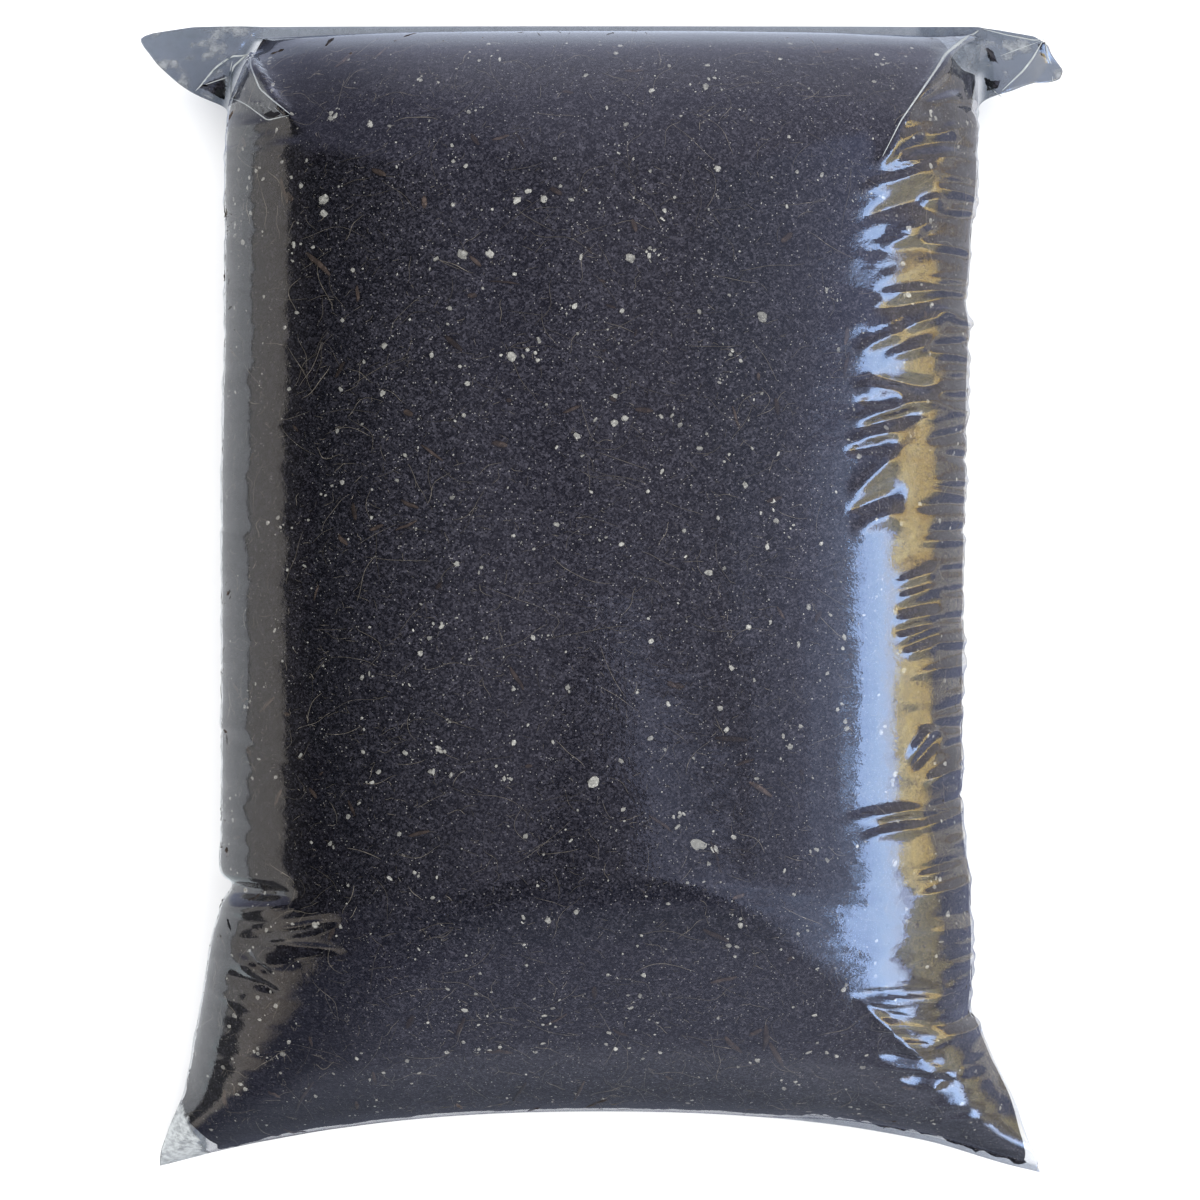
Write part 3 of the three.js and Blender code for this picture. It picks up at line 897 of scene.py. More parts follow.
def mottle_group():
    """A node group for loose and mottled matter.

    Cells of a given grain take random shades, most of them dark; cloudy noise darkens whole clumps; the cores of a
    few other cells are flecks of a third colour. The height is high in the middle of each cell.
    """
    name = "Grain mottle"
    if name in bpy.data.node_groups:
        return bpy.data.node_groups[name]
    group = bpy.data.node_groups.new(name, "ShaderNodeTree")
    inputs = (
        ("Vector", "NodeSocketVector"), ("Grain", "NodeSocketFloat"), ("Dark", "NodeSocketColor"),
        ("Light", "NodeSocketColor"), ("Fleck", "NodeSocketColor"), ("Flecks", "NodeSocketFloat"),
    )
    for label, kind in inputs:
        group.interface.new_socket(name=label, in_out="INPUT", socket_type=kind)
    for label, kind in (("Colour", "NodeSocketColor"), ("Height", "NodeSocketFloat")):
        group.interface.new_socket(name=label, in_out="OUTPUT", socket_type=kind)
    source = group.nodes.new("NodeGroupInput")
    sink = group.nodes.new("NodeGroupOutput")
    grain, vector = source.outputs["Grain"], source.outputs["Vector"]

    def cells(scale):
        """Voronoi cells: the distance from each one's middle, and the channels of its random colour."""
        made = add(group, "ShaderNodeTexVoronoi", feature="F1")
        join(group, vector, made.inputs["Vector"])
        join(group, scale, made.inputs["Scale"])
        channels = add(group, "ShaderNodeSeparateColor")
        join(group, made.outputs["Color"], channels.inputs["Color"])
        return made.outputs["Distance"], channels.outputs

    distance, shade = cells(grain)
    away, pick = cells(worked(group, "MULTIPLY", grain, 0.8))
    cloud = noise(group, vector, Detail=5.0, Roughness=0.7)
    join(group, worked(group, "MULTIPLY", grain, 0.22), cloud.inputs["Scale"])
    cloud = cloud.outputs["Fac"]
    clump = ranged(group, cloud, from_min=0.36, from_max=0.68, to_min=0.25)
    share = worked(group, "MULTIPLY", worked(group, "POWER", shade[0], 1.8), clump)
    blend = mixed(group, share, source.outputs["Dark"], source.outputs["Light"])
    chosen = worked(group, "LESS_THAN", pick[1], source.outputs["Flecks"])
    core = worked(group, "LESS_THAN", away, 0.33)
    flecked = mixed(group, worked(group, "MULTIPLY", chosen, core), blend, source.outputs["Fleck"])
    join(group, flecked, sink.inputs["Colour"])
    height = worked(group, "SUBTRACT", cloud, worked(group, "MULTIPLY", distance, 0.8))
    join(group, height, sink.inputs["Height"])
    return group


def mottled(tree, grain, dark, light, fleck, flecks):
    """The mottle group placed in a material, on Object coordinates."""
    made = tree.nodes.new("ShaderNodeGroup")
    made.node_tree = mottle_group()
    join(tree, add(tree, "ShaderNodeTexCoord").outputs["Object"], made.inputs["Vector"])
    for name, value in (("Grain", grain), ("Dark", dark), ("Light", light), ("Fleck", fleck), ("Flecks", flecks)):
        join(tree, value, made.inputs[name])
    return made


def plain_surface(tree, pattern, roughness):
    """A shader coloured by a mottle."""
    surface = add(tree, "ShaderNodeBsdfPrincipled", Roughness=roughness)
    join(tree, pattern.outputs["Colour"], surface.inputs["Base Color"])
    return surface


def loose_material(name, grain, colours, flecks, roughness, bump, darkest):
    """A dry granular finish: mottled colour, a bump from the same mottle, and the darkening stored on each point, which
    mixes random tone with painted shade.
    """
    made, tree, out = blank_material(name)
    pattern = mottled(tree, grain, *colours, flecks)
    surface = add(tree, "ShaderNodeBsdfPrincipled", Roughness=roughness)
    surface.inputs["Specular IOR Level"].default_value = 0.3
    tone_and_shade = ranged(tree, stored(tree, "tone_and_shade"), to_min=darkest)
    join(tree, mixed(tree, 1.0, pattern.outputs["Colour"], tone_and_shade, "MULTIPLY"), surface.inputs["Base Color"])
    join(tree, bumped(tree, pattern.outputs["Height"], bump, 0.0003), surface.inputs["Normal"])
    join(tree, surface.outputs[0], out.inputs["Surface"])
    return made


def film_material(colours):
    """Clear film: what is behind it, mixed with a sharp reflection that grows at grazing angles.

    Numbers stored on its points give the haze of doubled film, the mist inside the ears and the whitened tip.
    """
    made, tree, out = blank_material("Clear film")
    place = add(tree, "ShaderNodeTexCoord").outputs["Object"]
    press = noise(tree, place, Scale=520.0, Detail=2.0, Roughness=0.6).outputs["Fac"]
    cloud = noise(tree, place, Scale=160.0, Detail=4.0, Roughness=0.7).outputs["Fac"]
    rise = bumped(tree, press, 0.1, 0.0004)
    clear = add(tree, "ShaderNodeBsdfTransparent")
    join(tree, mixed(tree, stored(tree, "haze"), colours.film_tint, colours.film_doubled), clear.inputs["Color"])
    gloss = add(tree, "ShaderNodeBsdfGlossy", Roughness=0.015)
    gloss.inputs["Color"].default_value = (1, 1, 1, 1)
    angle = add(tree, "ShaderNodeFresnel", IOR=1.8)
    for node in (gloss, angle):
        join(tree, rise, node.inputs["Normal"])
    # Thin film mirrors no more from inside than from outside, so only its outer side is given a gloss.
    outer = worked(tree, "SUBTRACT", 1.0, add(tree, "ShaderNodeNewGeometry").outputs["Backfacing"])
    mirrored = worked(tree, "MULTIPLY", angle.outputs[0], outer)
    film = mixed_shaders(tree, mirrored, clear.outputs[0], gloss.outputs[0])

    misted = worked(tree, "MULTIPLY", ranged(tree, cloud, from_min=0.42, from_max=0.66), stored(tree, "mist"))
    shade = mixed(tree, cloud, tuple(0.6 * c for c in colours.mist), colours.mist)
    frost = stored(tree, "frost")
    speckled = worked(tree, "MULTIPLY", frost, ranged(tree, press, from_min=0.36, from_max=0.6, to_min=0.25))
    dull = add(tree, "ShaderNodeBsdfPrincipled", Roughness=0.55)
    join(tree, mixed(tree, speckled, shade, colours.frost), dull.inputs["Base Color"])
    whole = worked(tree, "ADD", misted, frost, use_clamp=True)
    join(tree, mixed_shaders(tree, whole, film, dull.outputs[0]), out.inputs["Surface"])
    return made


# ---------------------------------------------------------------- settings


def compost_shades(colours):
    """The compost's three shades: dampest, driest, and the pale flecks in it."""
    return colours.compost_dark, colours.compost_light, colours.compost_fleck


def amount(name, description, default):
    """A property that counts loose pieces."""
    return bpy.props.IntProperty(name=name, description=description, default=default, min=0)


def length(name, description, default):
    """A property in metres."""
    return bpy.props.FloatProperty(
        name=name, description=description, default=default, unit="LENGTH", subtype="DISTANCE"
    )


def colour(name, description, default):
    """A property with a colour picker."""
    return bpy.props.FloatVectorProperty(
        name=name, description=description, default=default, subtype="COLOR", size=3
    )


class CompostPackSizes(bpy.types.PropertyGroup):
    """Sizes and amounts that a user would change."""

    crumb_count: amount("Crumbs", "Dark crumbs that stand out of the compost", 9900)
    crumb_size: length("Crumb size", "Radius of the largest crumb", 0.001)
    speck_count: amount("Perlite specks", "Small perlite grains", 4200)
    root_count: amount("Roots", "Fine root fibres", 1500)
    fibre_count: amount("Short fibres", "Short pale fibres", 5200)
    wood_count: amount("Wood bits", "Slivers of composted wood", 200)
    camera_height: length("Camera height", "Height of the camera above the floor", 1.3)


class CompostPackColours(bpy.types.PropertyGroup):
    """Colours that a user would change."""

    film_tint: colour("Film tint", "Colour of light through one film", (0.86, 0.87, 0.885))
    film_doubled: colour("Doubled film", "Colour of light through the ears' film", (0.335, 0.365, 0.41))
    mist: colour("Mist", "Condensation and dust inside the ears", (0.3, 0.315, 0.33))
    # Frost also colours the painted highlights along the folds.
    frost: colour("Frost", "Bright fold lines and the whitened tip", (0.6, 0.63, 0.63))
    compost_dark: colour("Dark compost", "Dampest compost", (0.0028, 0.0026, 0.004))
    compost_light: colour("Light compost", "Driest compost", (0.083, 0.078, 0.094))
    compost_fleck: colour("Flecks", "Pale flecks in the compost", (0.25, 0.235, 0.22))
    perlite: colour("Perlite", "Clean perlite", (0.8, 0.77, 0.68))
    root: colour("Roots", "Dry root fibres", (0.27, 0.235, 0.19))
    wood: colour("Wood", "Composted wood", (0.11, 0.08, 0.064))
    floor: colour("Floor", "Studio floor", (0.93, 0.93, 0.93))


def finished(piece, *nodes):
    """Rides a piece on the pack's one body, and hides the CAD nodes that it stands for."""
    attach(piece, ROOT)
    if nodes:
        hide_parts(*nodes)


# The large perlite grains, as x, y and width.
BIG_PERLITE = (
    (-82.4, 169.1, 2.1), (-98.7, 142.4, 3.2), (-99.9, 137.4, 1.8), (-59.2, 119.9, 1.8), (-30.1, 141.2, 2.5),
    (-25.1, 143.6, 1.8), (-21.2, 140.4, 2.1), (-14.1, 144.7, 1.4), (-9.9, 140.4, 1.4), (-48.9, 121.5, 2.5),
    (-39.3, 121.8, 2.9), (10.6, 119.9, 2.5), (41.4, 151.5, 1.8), (57.4, 99.6, 3.2), (-32.2, 84.6, 2.9),
    (-47.5, 75.8, 1.4), (-8.5, 55.9, 1.8), (3.9, 61.5, 1.8), (9.2, 62.2, 1.8), (20.9, 43.9, 1.4),
    (52.1, 39.3, 2.1), (37.5, 8.1, 2.5), (-3.2, -66.1, 4.3), (35.0, -88.1, 3.2), (40.4, -89.9, 2.5),
    (-50.7, 12.0, 1.8), (-19.8, -115.4, 1.8), (-9.2, -112.8, 1.4), (43.9, 9.9, 1.4), (61.7, 27.0, 1.4),
    (67.1, -52.9, 1.4), (-78.6, 71.5, 1.8), (-60.7, -15.6, 1.4), (-75.0, -101.0, 1.4), (-96.9, -89.0, 1.4),
    (13.9, -143.7, 1.4), (-36.2, -164.6, 1.4), (78.8, -163.4, 1.4), (3.2, -158.8, 1.4), (-53.5, -63.4, 1.4),
    (17.3, -15.6, 1.4), (77.9, 18.1, 1.4), (-88.8, 116.3, 1.4), (85.2, 87.7, 1.4), (35.0, 101.2, 1.4),
    (109.2, 118.9, 1.4),
)


# ---------------------------------------------------------------- operators


class COMPOSTPACK_OT_film(bpy.types.Operator):
    """Make the film bag, with its ripples, folds and flat ears"""

    bl_idname = "compostpack.film"
    bl_label = "Film bag"

    def execute(self, context):
        colours = context.scene.compost_pack_colours
        rings, arc, from_seal = film_rings()
        count, around = rings.shape[:2]
        piece = made_object("film_bag", rings, ring_faces(count, around, len(arc)), film_material(colours))
        make_outward(piece)
        x, y = rings[..., 0], rings[..., 1]
        side = np.where(x > 0, softened(y, RIGHT_SIDE), softened(y, LEFT_SIDE))
        ear = smooth(0, 3.5, np.abs(x) - side) * smooth(182, 185, y)
        # The whitened tip lies beyond a slanting, ragged line across the cornered end's left corner.
        beyond = (-159.4 - x) * 0.944 + (-193.6 - y) * 0.329
        ragged = 1.3 * value_noise(rings, 3.2, 66) + 0.8 * value_noise(rings, 1.4, 67)
        left_tip = smooth(-0.7, 0.7, beyond + ragged)
        end = from_seal[:, None]
        flange = 0.6 * smooth(3.4, 2.4, end) * smooth(60, 84, x)
        flange = flange + 0.7 * smooth(LENGTH - 2.6, LENGTH - 0.4, end) * (1 - ear)
        empty = smooth(119, 126, x) * smooth(194, 200, y) * (1 - ear)
        point_numbers(piece, "haze", np.clip(0.9 * ear + 0.3 * left_tip + flange + 0.8 * empty, 0, 1))
        flat = rings * np.array([1, 1, 0])
        patches = smooth(0.05, 0.3, value_noise(flat, 8, 61) + 0.7 * value_noise(flat, 3.0, 62))
        for corners in POCKETS:
            middle = np.mean(corners, axis=0)
            patches = patches * smooth(3, 6, np.hypot(x - middle[0], y - middle[1]))
        mist = (0.06 + 0.85 * patches) * ear + 0.9 * left_tip + 0.3 * empty + 0.15 * flange
        point_numbers(piece, "mist", np.clip(mist, 0, 1))
        point_numbers(piece, "frost", np.clip(0.75 * left_tip, 0, 1))
        finished(piece, "bag_film")
        return {"FINISHED"}


class COMPOSTPACK_OT_fold_glints(bpy.types.Operator):
    """Make the painted fold glints, the vent and the painted shade under the hood's lip"""

    bl_idname = "compostpack.folds"
    bl_label = "Fold lines and gaps"

    def execute(self, context):
        colours = context.scene.compost_pack_colours
        rings, arc, _ = film_rings()
        # Painted highlight: pale, partly clear strips stand in for the glints along the folds.
        made, tree, out = blank_material("Painted fold glint")
        pale = tuple(0.7 * c for c in colours.frost)
        surface = plain_surface(tree, mottled(tree, 700.0, pale, colours.frost, colours.frost, 0.0), 0.35)
        clear = add(tree, "ShaderNodeBsdfTransparent")
        join(tree, mixed_shaders(tree, 0.7, clear.outputs[0], surface.outputs[0]), out.inputs["Surface"])
        folds = glint_strips(rings[:, : len(arc)], FOLD_GLINTS, made)

        made, tree, out = blank_material("Shade in a gap")
        pattern = mottled(tree, 900.0, (0.003, 0.003, 0.004), (0.012, 0.011, 0.013), (0.02, 0.02, 0.02), 0.05)
        join(tree, plain_surface(tree, pattern, 0.8).outputs[0], out.inputs["Surface"])
        normals = ring_normals(rings)
        base, faces = divided(*divided(*icosahedron()))
        points = []
        for x, y, long, wide, heading in GAPS:
            away = np.hypot(rings[..., 0] - x, rings[..., 1] - y) + 50 * (rings[..., 2] < 60)
            place = np.unravel_index(np.argmin(away), rings.shape[:2])
            along = np.array([np.cos(np.radians(heading)), np.sin(np.radians(heading)), 0.0])
            along -= normals[place] * (along @ normals[place])
            along /= np.linalg.norm(along)
            # Narrowed towards both ends, so that the ellipsoid becomes a pointed lens.
            shape = base.copy()
            shape[:, 1] *= 1 - 0.5 * base[:, 0] ** 2
            across = np.cross(normals[place], along)
            points.append(rings[place] + shape @ np.stack([long * along, wide * across, 0.35 * wide * normals[place]]))
        every = np.concatenate([faces + k * len(base) for k in range(len(points))])
        gaps = made_object("film_gaps", np.concatenate(points), every.tolist(), made)
        for piece in (folds, gaps):
            finished(piece)
        return {"FINISHED"}


class COMPOSTPACK_OT_fill(bpy.types.Operator):
    """Make the mass of compost"""

    bl_idname = "compostpack.fill"
    bl_label = "Compost"

    def execute(self, context):
        colours = context.scene.compost_pack_colours
        rings = fill_rings()
        material = loose_material("Compost", 1700.0, compost_shades(colours), 0.05, 0.95, 0.9, 0.0)
        piece = made_object("compost_mass", rings, ring_faces(*rings.shape[:2], FILL_COLUMNS), material)
        # The mass's stored tone is only the painted shade on the left and the darkening in the lower middle.
        point_numbers(piece, "tone_and_shade", painted_shade_and_darkening(rings[..., 0], rings[..., 1]))
        make_outward(piece)
        finished(piece, "compost_fill")
        return {"FINISHED"}


class COMPOSTPACK_OT_crumbs(bpy.types.Operator):
    """Make the dark crumbs that stand out of the compost"""

    bl_idname = "compostpack.crumbs"
    bl_label = "Crumbs"

    def execute(self, context):
        sizes, colours = context.scene.compost_pack_sizes, context.scene.compost_pack_colours
        rng = np.random.default_rng(41)
        skin = Skin(fill_rings())
        places = skin.at(*skin.scatter(sizes.crumb_count, rng))
        largest = sizes.crumb_size / MM
        size = largest * rng.uniform(0.3, 1, sizes.crumb_count) ** 1.6
        material = loose_material("Compost crumbs", 2000.0, compost_shades(colours), 0.04, 0.95, 0.7, 0.3)
        crumbs = grains("compost_crumbs", places, size, (0.7, 1.3), 0.28, 0.4, rng, material)
        layers = pocket_layers(material)
        for piece in (crumbs, layers):
            finished(piece)
        return {"FINISHED"}


class COMPOSTPACK_OT_perlite(bpy.types.Operator):
    """Make the perlite, a few large grains and many specks"""

    bl_idname = "compostpack.perlite"
    bl_label = "Perlite"

    def execute(self, context):
        sizes, colours = context.scene.compost_pack_sizes, context.scene.compost_pack_colours
        rng = np.random.default_rng(43)
        skin = Skin(fill_rings())
        dirty = tuple(0.4 * c for c in colours.perlite)
        clean = tuple(0.9 * c for c in colours.perlite)
        material = loose_material("Perlite", 1500.0, (dirty, clean, colours.compost_light), 0.05, 0.85, 0.7, 0.45)
        x, y, wide = np.array(BIG_PERLITE).T
        places = skin.at(*skin.above(x, y))
        large = grains("perlite_grains", places, wide * 0.62, (0.75, 1.3), 0.34, 0.85, rng, material, (0.6, 0.8), 1)
        i, j = skin.scatter(sizes.speck_count, rng)
        # Some specks lie in loose clusters about others.
        leader = rng.integers(0, sizes.speck_count // 12, sizes.speck_count)
        led = rng.random(sizes.speck_count) < 0.3
        i = np.where(led, i[leader] + rng.normal(0, 1.1, len(i)), i)
        j = np.where(led, j[leader] + rng.normal(0, 1.1, len(j)), j)
        places = skin.at(i, j)
        size = 0.15 + 0.95 * rng.random(sizes.speck_count) ** 4.5
        small = grains("perlite_specks", places, size, (0.7, 1.5), 0.3, 0.7, rng, material, (0.5, 0.8))
        for piece in (large, small):
            finished(piece)
        return {"FINISHED"}


class COMPOSTPACK_OT_roots(bpy.types.Operator):
    """Make the fine root fibres"""

    bl_idname = "compostpack.roots"
    bl_label = "Roots"

    def execute(self, context):
        sizes, colours = context.scene.compost_pack_sizes, context.scene.compost_pack_colours
        rng = np.random.default_rng(47)
        dark = tuple(0.35 * c for c in colours.root)
        material = loose_material("Root fibres", 500.0, (dark, colours.root, colours.root), 0.1, 0.8, 0.3, 0.25)
        skin = Skin(fill_rings())
        long = strands("root_fibres", skin, sizes.root_count, (6, 28), (0.07, 0.15), 0.32, 0.5, rng, material)
        short = strands(
            "short_fibres", skin, sizes.fibre_count, (1.5, 5), (0.06, 0.14), 0.25, 0.5, rng, material, joints=4
        )
        for piece in (long, short):
            finished(piece)
        return {"FINISHED"}


class COMPOSTPACK_OT_wood(bpy.types.Operator):
    """Make the slivers of composted wood"""

    bl_idname = "compostpack.wood"
    bl_label = "Wood bits"

    def execute(self, context):
        sizes, colours = context.scene.compost_pack_sizes, context.scene.compost_pack_colours
        rng = np.random.default_rng(53)
        dark = tuple(0.3 * c for c in colours.wood)
        material = loose_material("Composted wood", 700.0, (dark, colours.wood, colours.wood), 0.1, 0.8, 0.6, 0.3)
        piece = strands(
            "wood_bits", Skin(fill_rings()), sizes.wood_count, (3, 14), (0.4, 1.2), 0.08, 0.6, rng, material,
            sides=6, flat=0.35, joints=5,
        )
        finished(piece)
        return {"FINISHED"}


def area_light(name, place, turn, size, radiance, colour):
    """A soft box: a rectangle of even light, of a given radiance, that shows neither to the camera nor in the film."""
    data = bpy.data.lights.new(name, "AREA")
    data.shape = "RECTANGLE"
    data.size, data.size_y = size
    data.energy = radiance * np.pi * size[0] * size[1]
    data.color = colour
    lamp = bpy.data.objects.new(name, data)
    lamp.location = place
    lamp.rotation_euler = np.radians(turn)
    lamp.visible_camera = False
    lamp.visible_glossy = False
    bpy.context.scene.collection.objects.link(lamp)


# What the gloss reflects on each side, from straight down (-1) to straight up (1): height, red, green, blue.
OVERHEAD = (1.0, 0.2, 0.195, 0.27)
RIGHT_ROOM = (
    (-1.0, 0.5, 0.5, 0.6), (-0.6, 1.0, 1.02, 1.2), (-0.15, 1.3, 1.27, 1.4), (-0.08, 2.3, 1.95, 1.35),
    (0.05, 4.0, 3.2, 1.7), (0.28, 4.9, 4.2, 2.6), (0.4, 5.2, 4.8, 3.6), (0.425, 4.8, 5.4, 7.2),
    (0.56, 4.2, 5.7, 8.6), (0.69, 3.2, 4.5, 7.6), (0.705, 1.7, 2.4, 3.9), (0.73, 1.0, 1.2, 1.8),
    (0.88, 0.5, 0.54, 0.8), (0.97, 0.3, 0.32, 0.45), OVERHEAD,
)
# A dim wall between the window and the square end, which the ripples pick up as dark gaps.
WALL_ROOM = (
    (-1.0, 0.5, 0.5, 0.55), (-0.3, 0.85, 0.84, 0.9), (0.1, 0.9, 0.82, 0.8), (0.4, 0.7, 0.65, 0.75),
    (0.65, 0.6, 0.68, 1.1), (0.88, 0.42, 0.45, 0.66), (0.97, 0.25, 0.27, 0.38), OVERHEAD,
)
LEFT_ROOM = (
    (-1.0, 0.64, 0.66, 0.69), (-0.5, 0.99, 1.02, 1.07), (-0.2, 1.03, 1.08, 1.14), (-0.16, 0.4, 0.4, 0.4),
    (-0.13, 0.76, 0.74, 0.72), (0.25, 0.82, 0.77, 0.73), (0.35, 0.7, 0.65, 0.6), (0.4, 0.08, 0.075, 0.075),
    (0.6, 0.0, 0.0, 0.0), (0.85, 0.02, 0.02, 0.03), (0.95, 0.08, 0.08, 0.11), OVERHEAD,
)
LEFT_CORNER_ROOM = (
    (-1.0, 0.6, 0.66, 0.7), (-0.4, 0.9, 1.0, 1.05), (-0.16, 0.95, 1.05, 1.1), (-0.12, 0.12, 0.12, 0.12),
    (0.25, 0.1, 0.1, 0.1), (0.31, 0.8, 0.74, 0.68), (0.6, 0.75, 0.66, 0.58), (0.72, 0.5, 0.44, 0.38),
    (0.77, 0.05, 0.05, 0.08), (0.95, 0.08, 0.08, 0.12), OVERHEAD,
)
SQUARE_ROOM = (
    (-1.0, 0.75, 0.83, 1.02), (-0.75, 0.83, 0.91, 1.12), (-0.56, 0.66, 0.69, 0.91), (0.15, 0.62, 0.63, 0.83),
    (0.4, 0.5, 0.51, 0.71), (0.9, 0.37, 0.37, 0.52), (0.97, 0.26, 0.26, 0.36), OVERHEAD,
)
CORNERED_ROOM = (
    (-1.0, 0.14, 0.15, 0.2), (-0.6, 0.2, 0.22, 0.28), (-0.35, 0.36, 0.39, 0.5), (-0.15, 0.5, 0.53, 0.68),
    (0.0, 0.34, 0.36, 0.5), (0.5, 0.36, 0.38, 0.54), (0.8, 0.25, 0.27, 0.38), (0.86, 0.2, 0.21, 0.32),
    (0.89, 0.08, 0.085, 0.15), (0.97, 0.07, 0.075, 0.12), (0.992, 0.15, 0.15, 0.21), OVERHEAD,
)
BRIGHTEST = 10.0
# The floor's reach in millimetres. The camera's view at the pack's widest height, its sensor and its place, in metres.
FLOOR_REACH = 6000
VIEW_WIDTH = 0.4512
SENSOR_MM = 36.0
CAMERA_X, CAMERA_Y = -0.0004, -0.0015


def room_side(tree, height, stops):
    """One side of the room as a colour ramp over height, its colours scaled down to fit until the room is whole."""
    ramp = add(tree, "ShaderNodeValToRGB")
    elements = ramp.color_ramp.elements
    while len(elements) < len(stops):
        elements.new(0.5)
    for element, (level, *colour) in zip(elements, stops):
        element.position = (level + 1) / 2
        element.color = (*[c / BRIGHTEST for c in colour], 1)
    join(tree, ranged(tree, height, from_min=-1.0), ramp.inputs["Fac"])
    return ramp.outputs["Color"]


def studio_world():
    """Dim even light for everything but gloss, which sees the sides of a room that meet overhead.

    The window side's levels sway by cloudy noise, and so does the light of the leafy half below its sky. Bearings go
    round the room from -pi to pi, with 0 at the right and half pi at the square end.
    """
    world = bpy.data.worlds.new("Studio")
    world.use_nodes = True
    tree = world.node_tree
    place = add(tree, "ShaderNodeTexCoord").outputs["Generated"]
    split = add(tree, "ShaderNodeSeparateXYZ")
    join(tree, place, split.inputs[0])
    x, y, z = split.outputs

    def clouds(scale, low, high):
        """Cloudy noise over the room, from low to high."""
        made = noise(tree, place, Scale=scale, Detail=5.0, Roughness=0.64).outputs["Fac"]
        return ranged(tree, made, from_min=0.3, from_max=0.7, to_min=low, to_max=high)

    def dimmed(colour, share, factor):
        """A colour multiplied by a factor, as far as the share goes."""
        return mixed(tree, share, colour, factor, "MULTIPLY")

    # The window side is read by how far the film that mirrors it leans sideways, so that its bands run straight along
    # the pack: the cosine of twice the angle whose tangent is x over 1 + z.
    lean = worked(tree, "ARCTAN2", worked(tree, "ABSOLUTE", x), worked(tree, "ADD", z, 1.001))
    slope = worked(tree, "COSINE", worked(tree, "ADD", lean, lean))
    bearing = worked(tree, "ARCTAN2", y, x)
    lowered = worked(tree, "ADD", slope, step_between(tree, bearing, -0.25, -0.75, -0.1))
    swayed = worked(tree, "ADD", lowered, clouds(16.0, -0.06, 0.06))

    # The leaves below the window's sky are mottled, and duller towards both ends.
    leafy = mixed(tree, clouds(42.0, 0.0, 1.0), (0.3, 0.31, 0.5), (1.6, 1.5, 1.05))
    for start, end, factor in (
        (-0.04, -0.16, (0.42, 0.48, 0.7)), (0.02, 0.1, (0.75, 0.68, 0.6)), (-0.6, -0.8, (0.5, 0.5, 0.55)),
    ):
        leafy = dimmed(leafy, step_between(tree, bearing, start, end), factor)
    right = dimmed(room_side(tree, swayed, RIGHT_ROOM), step_between(tree, swayed, 0.5, 0.4), leafy)
    left = room_side(tree, z, LEFT_ROOM)
    corner = room_side(tree, worked(tree, "ADD", slope, clouds(16.0, -0.05, 0.05)), LEFT_CORNER_ROOM)
    square = dimmed(room_side(tree, z, SQUARE_ROOM), step_between(tree, bearing, 1.6, 2.05), (0.46, 0.46, 0.5))
    wall = room_side(tree, z, WALL_ROOM)
    cornered = room_side(tree, z, CORNERED_ROOM)
    for start, end, factor in ((-1.42, -1.68, (0.62, 0.62, 0.64)), (-1.66, -1.92, (0.35, 0.35, 0.4))):
        cornered = dimmed(cornered, step_between(tree, bearing, start, end), factor)

    # Going round from the left, each side takes over from the one before between two bearings.
    ragged = worked(tree, "ADD", bearing, clouds(9.0, -0.05, 0.05))
    colour = left
    for side, reading, start, end in (
        (corner, bearing, -2.72, -2.6), (cornered, bearing, -2.22, -2.05), (right, bearing, -1.2, -1.05),
        (wall, ragged, 0.08, 0.18), (square, bearing, 0.6, 0.85), (left, bearing, 2.5, 2.8),
    ):
        colour = mixed(tree, step_between(tree, reading, start, end), colour, side)
    scaled = add(tree, "ShaderNodeVectorMath", operation="SCALE")
    join(tree, colour, scaled.inputs[0])
    scaled.inputs["Scale"].default_value = BRIGHTEST
    glossy = add(tree, "ShaderNodeLightPath").outputs["Is Glossy Ray"]
    join(tree, mixed(tree, glossy, (0.1, 0.107, 0.13), scaled.outputs[0]), tree.nodes["Background"].inputs["Color"])
    return world


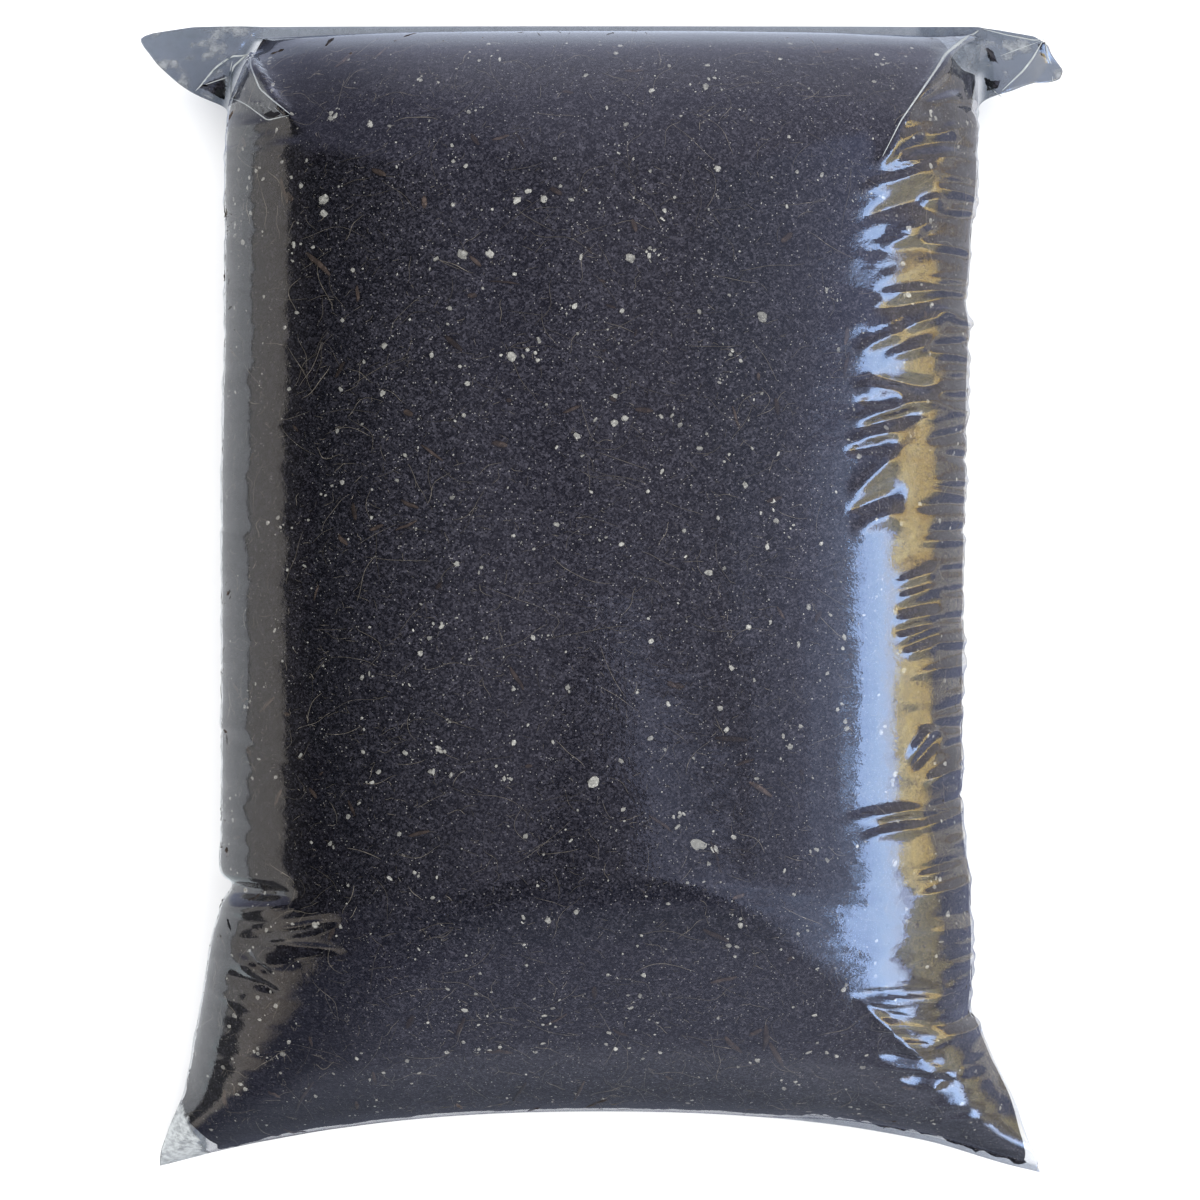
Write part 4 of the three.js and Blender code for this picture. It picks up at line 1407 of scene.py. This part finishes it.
class COMPOSTPACK_OT_stage(bpy.types.Operator):
    """Make the floor, the lights and the camera"""

    bl_idname = "compostpack.stage"
    bl_label = "Stage"

    def execute(self, context):
        sizes, colours = context.scene.compost_pack_sizes, context.scene.compost_pack_colours
        scene = context.scene
        made, tree, out = blank_material("Studio floor")
        pale = tuple(0.985 * c for c in colours.floor)
        surface = plain_surface(tree, mottled(tree, 60.0, pale, colours.floor, colours.floor, 0.0), 0.9)
        surface.inputs["Specular IOR Level"].default_value = 0.1
        join(tree, surface.outputs[0], out.inputs["Surface"])
        far = FLOOR_REACH
        corners = [(-far, -far, 0), (far, -far, 0), (far, far, 0), (-far, far, 0)]
        floor = made_object("studio_floor", corners, [(0, 1, 2, 3)], made, smooth_shade=False)
        floor.visible_glossy = False

        area_light("overhead", (0, 0, 2.4), (0, 0, 0), (3.0, 3.0), 4.9, (1, 1, 1))
        area_light("window", (1.9, 0.6, 1.6), (-17, 50, 0), (1.4, 1.4), 4.5, (0.94, 0.97, 1.0))
        scene.world = studio_world()
        scene.world.cycles.sampling_method = "NONE"
        scene.view_settings.view_transform = "Standard"

        data = bpy.data.cameras.new("Camera")
        data.sensor_width = SENSOR_MM
        data.lens = SENSOR_MM * (sizes.camera_height - WIDEST_Z * MM) / VIEW_WIDTH
        camera = bpy.data.objects.new("Camera", data)
        camera.location = (CAMERA_X, CAMERA_Y, sizes.camera_height)
        scene.collection.objects.link(camera)
        scene.camera = camera
        return {"FINISHED"}


class COMPOSTPACK_PT_panel(bpy.types.Panel):
    """Lists the pack's pieces"""

    bl_idname = "COMPOSTPACK_PT_panel"
    bl_label = "Compost Pack"
    bl_space_type = "VIEW_3D"
    bl_region_type = "UI"
    bl_category = "Compost Pack"

    def draw(self, context):
        for group in (context.scene.compost_pack_sizes, context.scene.compost_pack_colours):
            box = self.layout.box()
            for name in group.__annotations__:
                box.prop(group, name)
        for operator in OPERATORS:
            self.layout.operator(operator.bl_idname)


OPERATORS = (
    COMPOSTPACK_OT_stage,
    COMPOSTPACK_OT_fill,
    COMPOSTPACK_OT_crumbs,
    COMPOSTPACK_OT_perlite,
    COMPOSTPACK_OT_roots,
    COMPOSTPACK_OT_wood,
    COMPOSTPACK_OT_film,
    COMPOSTPACK_OT_fold_glints,
)
CLASSES = (CompostPackSizes, CompostPackColours, *OPERATORS, COMPOSTPACK_PT_panel)


def register():
    """Adds the classes and the settings to Blender."""
    for item in CLASSES:
        bpy.utils.register_class(item)
    bpy.types.Scene.compost_pack_sizes = bpy.props.PointerProperty(type=CompostPackSizes)
    bpy.types.Scene.compost_pack_colours = bpy.props.PointerProperty(type=CompostPackColours)


def unregister():
    """Takes them out again."""
    del bpy.types.Scene.compost_pack_sizes
    del bpy.types.Scene.compost_pack_colours
    for item in reversed(CLASSES):
        bpy.utils.unregister_class(item)


def main():
    """Registers the add-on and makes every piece."""
    register()
    for operator in OPERATORS:
        getattr(bpy.ops.compostpack, operator.bl_idname.split(".")[1])()
    bpy.context.view_layer.update()


if __name__ == "__main__":
    main()
